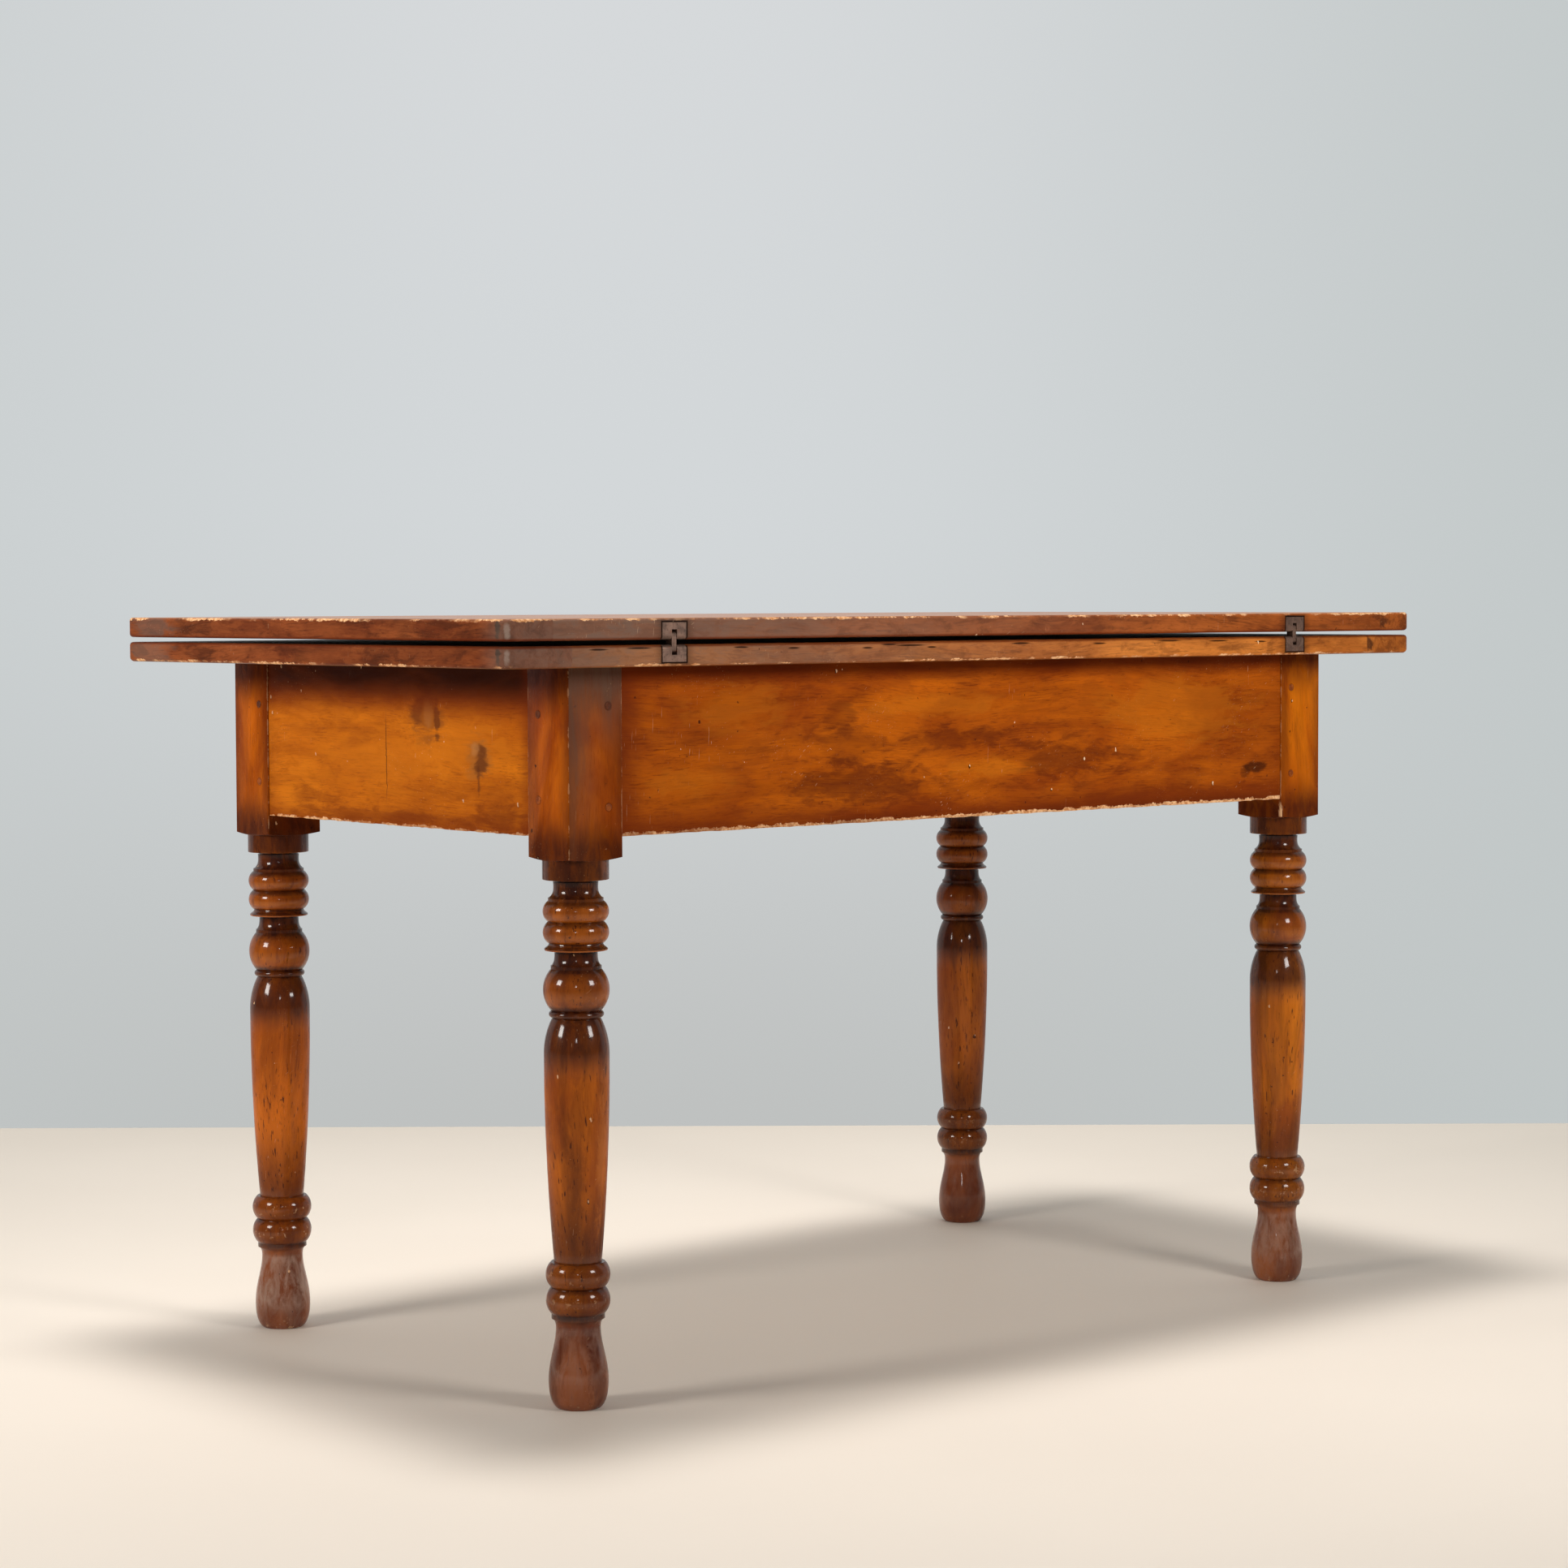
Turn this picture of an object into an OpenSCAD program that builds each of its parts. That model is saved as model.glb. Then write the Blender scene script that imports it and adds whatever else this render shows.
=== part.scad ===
// Swivel-top table: a four-legged frame with a storage well, under a folding top.
// The lower leaf turns a quarter on a bolt, then the upper leaf opens beside it like a book.
// X runs along the closed table, -Y is the front with the folding edge, Z is up, floor at z = 0.

/* [Overall] */
// Height of the closed table above the floor
table_h = 790; // [740:1:840]
// Length of the top
top_l = 1325; // [1250:1:1420]
// Depth of one leaf, and so of the closed top
leaf_w = 705; // [680:1:740]
// Length of the frame over its leg blocks
frame_l = 1107; // [1060:1:1150]
// Depth of the frame over its leg blocks
frame_w = 611; // [590:1:640]

/* [Leaves] */
// Thickness of each leaf
leaf_t = 21.5; // [19:0.5:26]
// Open gap between the folded leaves
leaf_gap = 5; // [3:0.5:8]
// Radius of the worn corners in plan
corner_r = 12; // [6:1:20]
// Rounding of the edges that face each other, which lets the leaves turn past each other
inner_edge_r = 4; // [3.6:0.1:5]
// Rounding of the upper leaf's top edges, which clears the frame as the leaf opens
top_edge_r = 3.6; // [3.4:0.1:5]
// Rounding of the lower leaf's bottom edges
under_edge_r = 5; // [2:0.5:6]
// Width of the end cleats on the upper leaf
upper_cleat_w = 56; // [50:1:90]
// Width of the end cleats on the lower leaf
lower_cleat_w = 79; // [50:1:90]
// Length of the tongue that enters a cleat
tongue_l = 25; // [18:1:32]
// Thickness of that tongue
tongue_t = 7; // [5:0.5:9]
// Distance from the long edges to the ends of the tongue
tongue_stop = 25; // [15:1:40]
// Diameter of the pegs that hold the cleats
cleat_peg_d = 8; // [6:0.5:10]
// Distance of those pegs from the cleat's joint line
cleat_peg_in = 12; // [10:0.5:14]

/* [Leg blocks] */
// Side of the square block at the top of each leg
block = 67; // [64:0.5:74]
// Drop of the block below the aprons
block_drop = 20; // [12:1:30]
// Fall of the turned shoulder from the block's corners to the collar
shoulder_fall = 3; // [1:0.5:6]

/* [Leg turning, top group] */
// Radius of the plain collar under the block
collar_r = 33.4; // [31:0.1:33.4]
// Height of that collar
collar_h = 19.4; // [14:0.2:26]
// Radius of the undercut below the collar
undercut_r = 21.3; // [19:0.1:22]
// Height of each undercut
undercut_h = 2.4; // [1:0.2:4]
// Radius at the waist of the upper neck
neck_r = 22.4; // [22.1:0.1:25]
// Height of the upper neck below its undercut
neck_h = 16; // [13:0.5:20]
// Radius of the fillet above the beads
bead_fillet_r = 27.8; // [27:0.1:28]
// Height of that fillet
bead_fillet_h = 3.2; // [2:0.2:5]
// Greatest radius of the two beads
bead_r = 33.2; // [31:0.1:35]
// Radius in the grooves beside the beads
bead_groove_r = 28.1; // [27:0.1:29]
// Height of the upper bead
bead_top_h = 20.4; // [16:0.2:24]
// Height of the lower bead
bead_low_h = 21.4; // [16:0.2:24]
// Radius of the flange's sharp rim
flange_r = 31.9; // [30:0.1:34]
// Height of the flange
flange_h = 7.2; // [5:0.2:10]
// Thickness of the flange at its rim
flange_rim = 1.4; // [0.8:0.2:2.4]
// Radius of the lower neck
low_neck_r = 21.6; // [21.4:0.1:24]
// Height of the lower neck below its undercut
low_neck_h = 13; // [10:0.5:18]
// Radius of the fillet above the ball
ball_fillet_r = 25.5; // [24.5:0.1:26]
// Height of that fillet
ball_fillet_h = 3.2; // [2:0.2:5]
// Greatest radius of the ball
ball_r = 33.3; // [31:0.1:35]
// Radius in the grooves at both ends of the ball
ball_groove_r = 25.3; // [24.2:0.1:26]
// Height of the ball
ball_h = 41.8; // [36:0.2:48]
// Radius of the small bead under the ball
small_bead_r = 27.6; // [26.4:0.1:29]
// Height of that small bead
small_bead_h = 7; // [5:0.2:9]

/* [Leg turning, shaft and foot] */
// Radius where the shaft starts below the small bead
shaft_start_r = 24; // [22:0.1:25]
// Height of the shaft's rounded shoulder
shaft_shoulder_h = 35.6; // [28:0.2:44]
// Greatest radius of the shaft
shaft_r = 32.9; // [31:0.1:35]
// Radius of the shaft just above the rings
shaft_end_r = 23.9; // [22:0.1:25]
// Greatest radius of the two rings
ring_r = 32.5; // [31:0.1:34]
// Radius in the grooves beside the rings
ring_groove_r = 27.2; // [26.9:0.1:29]
// Height of the upper ring
ring_top_h = 25.2; // [20:0.2:30]
// Height of the lower ring
ring_low_h = 26.6; // [20:0.2:30]
// Radius of the fillet under the rings
ankle_fillet_r = 26.8; // [26:0.1:28]
// Height of that fillet
ankle_fillet_h = 5; // [3:0.2:8]
// Height of the hollow between the fillet and the ankle
ankle_h = 9.4; // [6:0.2:14]
// Least radius at the ankle
ankle_r = 22.5; // [20:0.1:24]
// Height of the ankle above the floor
foot_h = 80.8; // [70:0.2:92]
// Greatest radius of the foot
foot_r = 30.2; // [27:0.1:33]
// Height of the foot's greatest radius
foot_belly_h = 27.4; // [22:0.2:34]
// Radius of the flat under the foot
foot_pad_r = 22; // [18:0.1:24]

/* [Aprons and joints] */
// Depth of the aprons
apron_h = 169; // [150:1:190]
// Thickness of the aprons
apron_t = 22; // [20:0.5:26]
// Step back of the aprons from the faces of the leg blocks
apron_recess = 1.5; // [0.5:0.1:3]
// Length of the tenons
tenon_l = 45; // [40:0.5:46]
// Thickness of the tenons
tenon_t = 10; // [8:0.5:11]
// Distance of the tenon from the apron's outer face
tenon_set = 6; // [5:0.5:7]
// Shoulder above each tenon
tenon_top = 20; // [12:1:26]
// Shoulder below each tenon
tenon_low = 15; // [8:1:20]
// Diameter of the pegs through the tenons
peg_d = 8; // [6:0.5:9]
// Length of those pegs
peg_l = 44; // [41:0.5:44]
// How far the pegs stand proud
peg_proud = 0.5; // [0.2:0.1:1]
// Distance of the pegs from the tenon's shoulder
peg_in = 17.5; // [15:0.5:20]
// Depth of the upper pegs of the long aprons below the frame's top
long_peg_high = 38.7; // [32:0.5:48]
// Depth of the lower pegs of the long aprons
long_peg_low = 139; // [120:1:142]
// Depth of the upper pegs of the end aprons
end_peg_high = 47; // [36:0.5:56]
// Depth of the lower pegs of the end aprons
end_peg_low = 132; // [116:1:142]

/* [Storage well] */
// Number of boards in the well's floor
floor_boards = 5; // [5:1:5]
// Thickness of the floor boards
floor_t = 12; // [8:0.5:16]
// Width and height of the ledger strips
ledger = 22; // [16:1:28]
// Height of the ledgers above the aprons' lower edge
ledger_up = 2; // [0.5:0.5:8]
// Nails in each ledger
ledger_nail_n = 5; // [3:1:7]
// Length of those nails
nail_l = 34; // [30:1:38]
// Shank diameter of those nails
nail_d = 2.6; // [2:0.2:4]

/* [Pivot] */
// Thickness of the rail that carries the pivot
rail_t = 24; // [18:0.5:30]
// Depth of the rail's lap into the long aprons
rail_lap = 12; // [8:0.5:14]
// Diameter of the pivot bolt
bolt_d = 16; // [12:0.5:20]
// Wall of the bush in the rail
bush_wall = 4; // [2:0.5:6]
// Diameter of the bolt's head
bolt_head_d = 30; // [25:0.5:36]
// Thickness of the bolt's head
bolt_head_t = 5; // [3:0.5:7]
// Diameter of the plate under the lower leaf
pivot_plate_d = 90; // [78:1:110]
// Thickness of that plate
pivot_plate_t = 4; // [3:0.5:6]
// Number of screws in that plate
plate_screw_n = 4; // [3:1:6]
// Diameter of the washer below the rail
washer_d = 36; // [32:0.5:44]
// Thickness of that washer
washer_t = 3; // [2:0.5:5]
// Side of the square nut
nut_side = 27; // [26:0.5:32]
// Height of the nut
nut_h = 12; // [8:0.5:16]
// How far the bolt passes the nut
bolt_past = 6; // [2:0.5:12]
// Diameter of the stop peg under the lower leaf
stop_d = 20; // [16:0.5:24]
// Length of the stop peg below the leaf
stop_l = 30; // [20:1:40]
// Diameter of the stop peg's spigot
stop_spigot_d = 14; // [8:0.5:15]
// Depth of that spigot in the leaf
stop_spigot_l = 12; // [8:0.5:15]
// Distance of the stop peg from the pivot along the front apron
stop_reach = 300; // [240:1:340]

/* [Hinges] */
// Distance of each hinge from the middle of the folding edge
hinge_x = 457; // [380:1:500]
// Width of the hinge plates
plate_w = 30; // [26:0.5:36]
// Height of a hinge plate on the leaf's edge
plate_edge_h = 17; // [15:0.5:18]
// Thickness of the plate on the leaf's edge
plate_edge_t = 3; // [2:0.5:4]
// Reach of a hinge plate across the leaf's inner face
plate_reach = 50; // [42:1:60]
// Thickness of the plate on the inner face
plate_face_t = 2.5; // [1.5:0.5:3.5]
// Side wall of the knuckle beside the slot
cheek_t = 5; // [3:0.5:7]
// Wall of the knuckle around the slot's other sides
knuckle_wall = 3; // [2:0.5:4]
// Thickness of the hinge links
link_t = 5.8; // [4:0.2:7]
// Depth of the hinge pins below the inner face
pin_down = 4; // [3.9:0.1:4.4]
// Diameter of the hinge pins
pin_d = 3; // [2.4:0.1:3.4]
// Reach of a link past its pin at the ends
link_end = 3.5; // [3:0.1:3.7]
// Reach of a link from the pins towards the front
link_front = 5.5; // [4.5:0.1:5.8]
// Reach of a link from the pins towards the back
link_back = 3.6; // [3:0.1:3.7]
// Rounding of the link's corners
link_corner_r = 2.8; // [2:0.1:3]
// Gap left between the leaves' edges when they lie open
open_gap = 0.6; // [0.4:0.1:1]
// Distance of the screws from the leaf's edge
hinge_screw_in = 36; // [30:1:38]
// Distance of the screws from the middle of the plate
hinge_screw_side = 8; // [6:0.5:9]

/* [Screws] */
// Head diameter of the large screws
screw_head_d = 9; // [8:0.5:11]
// Shank diameter of the large screws
screw_d = 4.5; // [3.5:0.5:5.5]
// Length of the screws in the pivot plate
plate_screw_l = 15; // [12:0.5:17]
// Length of the screws in the pivot rail
rail_screw_l = 55; // [44:1:70]
// Head diameter of the hinge screws
hinge_screw_head_d = 7; // [6:0.5:8]
// Shank diameter of the hinge screws
hinge_screw_d = 3.5; // [2.5:0.5:4]
// Length of the hinge screws
hinge_screw_l = 14; // [10:0.5:16]

/* [Fits] */
// Sliding gap between the lower leaf and the frame
slide_gap = 0.3; // [0.2:0.1:1]
// Gap at a stop when it is reached
stop_gap = 0.3; // [0.2:0.1:1]
// Running clearance on radius of bolt and hinge pins
run_fit = 0.05; // [0.03:0.01:0.1]
// Clearance on radius of pegs, nails and screws in their holes
peg_fit = 0.05; // [0.03:0.01:0.2]
// Clearance around plates and boards that are let in
inlay_gap = 0.3; // [0.1:0.1:0.5]
// Side clearance of a link in its slot
link_play = 0.3; // [0.2:0.05:0.5]
// Clearance at the bottom of mortises and grooves
joint_end_gap = 1.5; // [0.5:0.5:2]

/* [Hidden] */
$fn = 96;
over = 1;

leaf_low_z = table_h - 2 * leaf_t - leaf_gap;
lower_inner_z = leaf_low_z + leaf_t;
upper_inner_z = lower_inner_z + leaf_gap;
frame_top = leaf_low_z - slide_gap;
apron_low_z = frame_top - apron_h;

leg_x = (frame_l - block) / 2;
leg_y = (frame_w - block) / 2;
half_block = block / 2;
apron_out = half_block - apron_recess;
apron_in = apron_out - apron_t;
inner_x = leg_x + apron_in;
inner_y = leg_y + apron_in;
tenon_low_z = apron_low_z + tenon_low;
tenon_z = apron_h - tenon_low - tenon_top;
peg_across = half_block - peg_in;

shoulder_top_z = apron_low_z - block_drop;
collar_top_z = shoulder_top_z - shoulder_fall;
collar_low_z = collar_top_z - collar_h;
neck_top_z = collar_low_z - undercut_h;
neck_low_z = neck_top_z - neck_h;
bead_top_z = neck_low_z - bead_fillet_h;
bead_mid_z = bead_top_z - bead_top_h;
bead_low_z = bead_mid_z - bead_low_h;
flange_low_z = bead_low_z - flange_h;
low_neck_top_z = flange_low_z - undercut_h;
low_neck_low_z = low_neck_top_z - low_neck_h;
ball_top_z = low_neck_low_z - ball_fillet_h;
ball_low_z = ball_top_z - ball_h;
shaft_top_z = ball_low_z - small_bead_h;
shaft_full_z = shaft_top_z - shaft_shoulder_h;
ankle_top_z = foot_h + ankle_h;
ring_low_z = ankle_top_z + ankle_fillet_h;
ring_mid_z = ring_low_z + ring_low_h;
shaft_low_z = ring_mid_z + ring_top_h;

pivot = leaf_w / 4;
rail_low_z = frame_top - rail_t;
stop_r = stop_d / 2;
stop_side = inner_y - pivot - stop_r - stop_gap;
rail_half = stop_side - stop_r - stop_gap;
plate_screw_r = (pivot_plate_d + bolt_head_d) / 4;

ledger_z = apron_low_z + ledger_up;
floor_z = ledger_z + ledger;
floor_w = (2 * inner_x - 2 * inlay_gap) / floor_boards;

pin_in = pin_down + leaf_gap / 2 - open_gap / 2;
pin_span = 2 * pin_down + leaf_gap;
pin_y = -leaf_w / 2 + pin_in;
slot_w = link_t + 2 * link_play;
slot_deep = pin_down + link_front + 2 * link_play;
slot_back = pin_in + link_back + 2 * link_play;
knuckle_w = slot_w + 2 * cheek_t;

// Points of a bead's arc from its top edge to its bottom edge
function bead(top_z, low_z, edge_r, full_r, n) =
    let (half = (top_z - low_z) / 2,
         bulge = full_r - edge_r,
         arc_r = (half * half + bulge * bulge) / (2 * bulge),
         reach = asin(half / arc_r))
    [for (i = [0 : n])
        let (a = reach * (1 - 2 * i / n))
        [full_r - arc_r + arc_r * cos(a), (top_z + low_z) / 2 + arc_r * sin(a)]];

// Points of the shaft's long arc, upright at the top
function taper(top_z, low_z, top_r, low_r, n) =
    let (fall = top_z - low_z,
         step = top_r - low_r,
         arc_r = (fall * fall + step * step) / (2 * step))
    [for (i = [0 : n])
        let (z = fall * i / n)
        [top_r - arc_r + sqrt(arc_r * arc_r - z * z), top_z - z]];

// Points of a smooth curve between a and d that leaves towards b and arrives from c
function curve(a, b, c, d, n) =
    [for (i = [0 : n])
        let (t = i / n, u = 1 - t)
        u * u * u * a + 3 * u * u * t * b + 3 * u * t * t * c + t * t * t * d];

function turned_outline() = concat(
    [[0, collar_top_z + over], [collar_r, collar_top_z + over], [collar_r, collar_low_z],
     [undercut_r, collar_low_z], [undercut_r, neck_top_z]],
    curve([neck_r + 0.3, neck_top_z], [neck_r - 0.5, neck_top_z - neck_h / 2],
          [neck_r, neck_low_z + neck_h / 4], [bead_fillet_r - 0.8, neck_low_z], 8),
    [[bead_fillet_r, neck_low_z], [bead_fillet_r, bead_top_z]],
    bead(bead_top_z, bead_mid_z, bead_groove_r, bead_r, 12),
    bead(bead_mid_z, bead_low_z, bead_groove_r - 0.2, bead_r, 12),
    curve([bead_groove_r - 1, bead_low_z], [bead_groove_r - 0.5, bead_low_z - flange_h / 2],
          [flange_r - 1.5, flange_low_z + flange_h / 2], [flange_r, flange_low_z + flange_rim], 5),
    [[flange_r - 0.4, flange_low_z], [undercut_r - 1, flange_low_z],
     [undercut_r - 1, low_neck_top_z]],
    curve([low_neck_r, low_neck_top_z], [low_neck_r, low_neck_top_z - low_neck_h / 2],
          [low_neck_r + 0.4, low_neck_low_z + low_neck_h / 4],
          [ball_fillet_r - 0.6, low_neck_low_z], 8),
    [[ball_fillet_r, low_neck_low_z], [ball_fillet_r, ball_top_z]],
    bead(ball_top_z, ball_low_z, ball_groove_r, ball_r, 18),
    bead(ball_low_z, shaft_top_z, shaft_start_r + 0.8, small_bead_r, 6),
    curve([shaft_start_r, shaft_top_z], [shaft_start_r + 3.5, shaft_top_z - shaft_shoulder_h / 6],
          [shaft_r, shaft_full_z + 0.45 * shaft_shoulder_h], [shaft_r, shaft_full_z - over / 10], 9),
    taper(shaft_full_z - over, shaft_low_z, shaft_r, shaft_end_r, 14),
    bead(shaft_low_z, ring_mid_z, ring_groove_r, ring_r, 12),
    bead(ring_mid_z, ring_low_z, ring_groove_r - 0.2, ring_r - 0.1, 12),
    [[ankle_fillet_r, ring_low_z], [ankle_fillet_r, ankle_top_z]],
    curve([ankle_fillet_r - 1.2, ankle_top_z], [ankle_r + 1.2, ankle_top_z - ankle_h / 4],
          [ankle_r, foot_h + ankle_h / 2], [ankle_r, foot_h], 6),
    curve([ankle_r, foot_h - over / 10], [ankle_r, foot_h - 18],
          [foot_r, foot_belly_h + 22], [foot_r, foot_belly_h], 12),
    curve([foot_r, foot_belly_h - over / 10], [foot_r, 0.45 * foot_belly_h],
          [foot_pad_r + 5, 0.12 * foot_belly_h], [foot_pad_r, 0], 8),
    [[0, 0]]
);

module at_corner(side_x, side_y) {
    translate([side_x * leg_x, side_y * leg_y, 0])
        rotate([0, 0, side_y > 0 ? 180 : 0])
            mirror([side_x * side_y < 0 ? 1 : 0, 0, 0])
                children();
}

module mortise(z, h) {
    translate([half_block - tenon_l - joint_end_gap, -apron_out + tenon_set, z])
        cube([tenon_l + joint_end_gap + over, tenon_t, h]);
}

// Peg bores of one face, drilled from the outside along +Y
module peg_holes(depths, r, start, len) {
    for (depth = depths)
        translate([peg_across, start, frame_top - depth])
            rotate([-90, 0, 0])
                cylinder(r = r, h = len);
}

module swap_xy() {
    mirror([1, -1, 0]) children();
}

// One leg at the origin, with the aprons leaving along +X and +Y
module leg() {
    color("saddlebrown")
    difference() {
        union() {
            intersection() {
                translate([-half_block, -half_block, collar_top_z - over])
                    cube([block, block, frame_top - collar_top_z + over]);
                rotate_extrude()
                    polygon([[0, collar_top_z], [collar_r, collar_top_z],
                             [half_block * sqrt(2) + over, shoulder_top_z],
                             [half_block * sqrt(2) + over, frame_top], [0, frame_top]]);
            }
            rotate_extrude() polygon(turned_outline());
        }
        mortise(tenon_low_z, tenon_z);
        swap_xy() mortise(tenon_low_z, tenon_z);
        peg_holes([long_peg_high, long_peg_low], peg_d / 2 + peg_fit,
                  -half_block - over, peg_l - peg_proud + over + inlay_gap);
        swap_xy() peg_holes([end_peg_high, end_peg_low], peg_d / 2 + peg_fit,
                            -half_block - over, peg_l - peg_proud + over + inlay_gap);
    }
}

module front_left_leg() { at_corner(-1, -1) leg(); }
module front_right_leg() { at_corner(1, -1) leg(); }
module rear_left_leg() { at_corner(-1, 1) leg(); }
module rear_right_leg() { at_corner(1, 1) leg(); }

// A board along X with tenons, its outer face towards -Y, seen from the frame's middle
module apron(reach, side, depths) {
    shoulder = reach - half_block;
    difference() {
        union() {
            translate([-shoulder, -side - apron_out, apron_low_z])
                cube([2 * shoulder, apron_t, apron_h]);
            translate([-shoulder - tenon_l, -side - apron_out + tenon_set, tenon_low_z])
                cube([2 * (shoulder + tenon_l), tenon_t, tenon_z]);
        }
        for (end = [0, 1])
            mirror([end, 0, 0])
                translate([-reach, -side, 0])
                    peg_holes(depths, peg_d / 2 + peg_fit, -apron_out - over, apron_t + 2 * over);
    }
}

// The seat of the pivot rail in a long apron
module rail_seat() {
    translate([-pivot - rail_half, -inner_y - rail_lap, rail_low_z])
        cube([2 * rail_half, rail_lap + over, rail_t + over]);
}

module long_apron(depths) {
    color("sienna")
    difference() {
        apron(leg_x, leg_y, depths);
        rail_seat();
        rail_screw_holes();
        nail_holes();
    }
}

module front_apron() { long_apron([long_peg_high, long_peg_low]); }

module rear_apron() {
    mirror([0, 1, 0]) long_apron([long_peg_high, long_peg_low]);
}

module end_apron() {
    color("peru") swap_xy() apron(leg_y, leg_x, [end_peg_high, end_peg_low]);
}

module left_apron() { end_apron(); }
module right_apron() { mirror([1, 0, 0]) end_apron(); }

module long_apron_pegs() {
    color("chocolate")
    for (side_x = [-1, 1], side_y = [-1, 1])
        at_corner(side_x, side_y)
            peg_holes([long_peg_high, long_peg_low], peg_d / 2, -half_block - peg_proud, peg_l);
}

module end_apron_pegs() {
    color("chocolate")
    for (side_x = [-1, 1], side_y = [-1, 1])
        at_corner(side_x, side_y) swap_xy()
            peg_holes([end_peg_high, end_peg_low], peg_d / 2, -half_block - peg_proud, peg_l);
}

// Nails along the front ledger, driven from the well into the apron
module nails(r, head_r, head_t) {
    run = 2 * (leg_x - half_block);
    for (i = [0 : ledger_nail_n - 1])
        translate([-run / 2 + run * (i + 0.5) / ledger_nail_n, -inner_y + ledger,
                   ledger_z + ledger / 2])
            rotate([90, 0, 0]) {
                cylinder(r = r, h = nail_l);
                translate([0, 0, -head_t]) cylinder(r = head_r, h = head_t);
            }
}

module nail_holes() { nails(nail_d / 2 + peg_fit, nail_d, over); }

module front_ledger() {
    color("burlywood")
    difference() {
        translate([-leg_x + half_block, -inner_y, ledger_z])
            cube([2 * (leg_x - half_block), ledger, ledger]);
        nail_holes();
    }
}

module rear_ledger() { mirror([0, 1, 0]) front_ledger(); }

module ledger_nails() {
    color("dimgray")
    for (side = [0, 1])
        mirror([0, side, 0]) nails(nail_d / 2, nail_d, 1.2);
}

// Floor boards lie across the well on the two ledgers, cut out round the leg blocks
module floor_board(i) {
    color("tan")
    difference() {
        translate([-inner_x + inlay_gap + i * floor_w, -inner_y + inlay_gap, floor_z])
            cube([floor_w - inlay_gap, 2 * (inner_y - inlay_gap), floor_t]);
        for (side_x = [-1, 1], side_y = [-1, 1])
            translate([side_x * leg_x, side_y * leg_y, floor_z + floor_t / 2])
                cube([block + 2 * inlay_gap, block + 2 * inlay_gap, floor_t + 2 * over],
                     center = true);
    }
}

module well_floor_board_1() { floor_board(0); }
module well_floor_board_2() { floor_board(1); }
module well_floor_board_3() { floor_board(2); }
module well_floor_board_4() { floor_board(3); }
module well_floor_board_5() { floor_board(4); }

// A countersunk screw pointing down from z = 0
module screw(head_d, shank_d, len, grow) {
    head_t = (head_d - shank_d) / 2;
    translate([0, 0, -head_t])
        cylinder(r1 = shank_d / 2 + grow, r2 = head_d / 2 + grow, h = head_t);
    translate([0, 0, -len - grow]) cylinder(r = shank_d / 2 + grow, h = len + grow);
}

module slotted_screw(head_d, shank_d, len) {
    difference() {
        screw(head_d, shank_d, len, 0);
        translate([0, 0, 0]) cube([head_d + over, head_d / 8, head_d / 6], center = true);
    }
}

module at_rail_screws() {
    for (side = [-1, 1])
        translate([-pivot + side * rail_half / 2, -inner_y - rail_lap / 2, frame_top])
            children();
}

module rail_screw_holes() {
    at_rail_screws() screw(screw_head_d, screw_d, rail_screw_l, peg_fit);
}

module pivot_rail() {
    color("rosybrown")
    difference() {
        translate([-pivot - rail_half, -inner_y - rail_lap, rail_low_z])
            cube([2 * rail_half, 2 * (inner_y + rail_lap), rail_t]);
        for (side = [0, 1])
            mirror([0, side, 0]) rail_screw_holes();
        translate([-pivot, -pivot, rail_low_z - over])
            cylinder(r = bolt_d / 2 + bush_wall, h = rail_t + 2 * over);
    }
}

module pivot_rail_screws() {
    color("dimgray")
    for (side = [0, 1])
        mirror([0, side, 0]) at_rail_screws() slotted_screw(screw_head_d, screw_d, rail_screw_l);
}

module pivot_bush() {
    color("darkgoldenrod")
    translate([-pivot, -pivot, rail_low_z])
        difference() {
            cylinder(r = bolt_d / 2 + bush_wall, h = rail_t);
            translate([0, 0, -over])
                cylinder(r = bolt_d / 2 + run_fit, h = rail_t + 2 * over);
        }
}

// Section of a leaf: w wide and leaf_t high, with its own rounding above and below
module leaf_section(w, top_r, low_r) {
    translate([-w / 2, low_r]) square([w, leaf_t - top_r - low_r]);
    translate([-w / 2 + top_r, leaf_t - top_r - over / 10])
        square([w - 2 * top_r, top_r + over / 10]);
    translate([-w / 2 + low_r, 0]) square([w - 2 * low_r, low_r + over / 10]);
    for (side = [-1, 1]) {
        translate([side * (w / 2 - top_r), leaf_t - top_r]) circle(r = top_r);
        translate([side * (w / 2 - low_r), low_r]) circle(r = low_r);
    }
}

// One corner of a leaf, turned about an upright line so that both roundings run round it
module leaf_corner(top_r, low_r) {
    rotate_extrude() {
        translate([0, low_r]) square([corner_r, leaf_t - top_r - low_r]);
        square([corner_r - low_r, leaf_t]);
        square([corner_r - top_r, leaf_t]);
        translate([corner_r - top_r, leaf_t - top_r]) intersection() {
            circle(r = top_r);
            square(top_r);
        }
        translate([corner_r - low_r, low_r]) intersection() {
            circle(r = low_r);
            translate([0, -low_r]) square(low_r);
        }
    }
}

module leaf_blank(z, top_r, low_r) {
    translate([0, 0, z]) {
        rotate([90, 0, 90])
            translate([0, 0, corner_r - top_l / 2])
                linear_extrude(top_l - 2 * corner_r) leaf_section(leaf_w, top_r, low_r);
        rotate([90, 0, 0])
            translate([0, 0, corner_r - leaf_w / 2])
                linear_extrude(leaf_w - 2 * corner_r) leaf_section(top_l, top_r, low_r);
        for (side_x = [-1, 1], side_y = [-1, 1])
            translate([side_x * (top_l / 2 - corner_r), side_y * (leaf_w / 2 - corner_r), 0])
                leaf_corner(top_r, low_r);
    }
}

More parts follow.
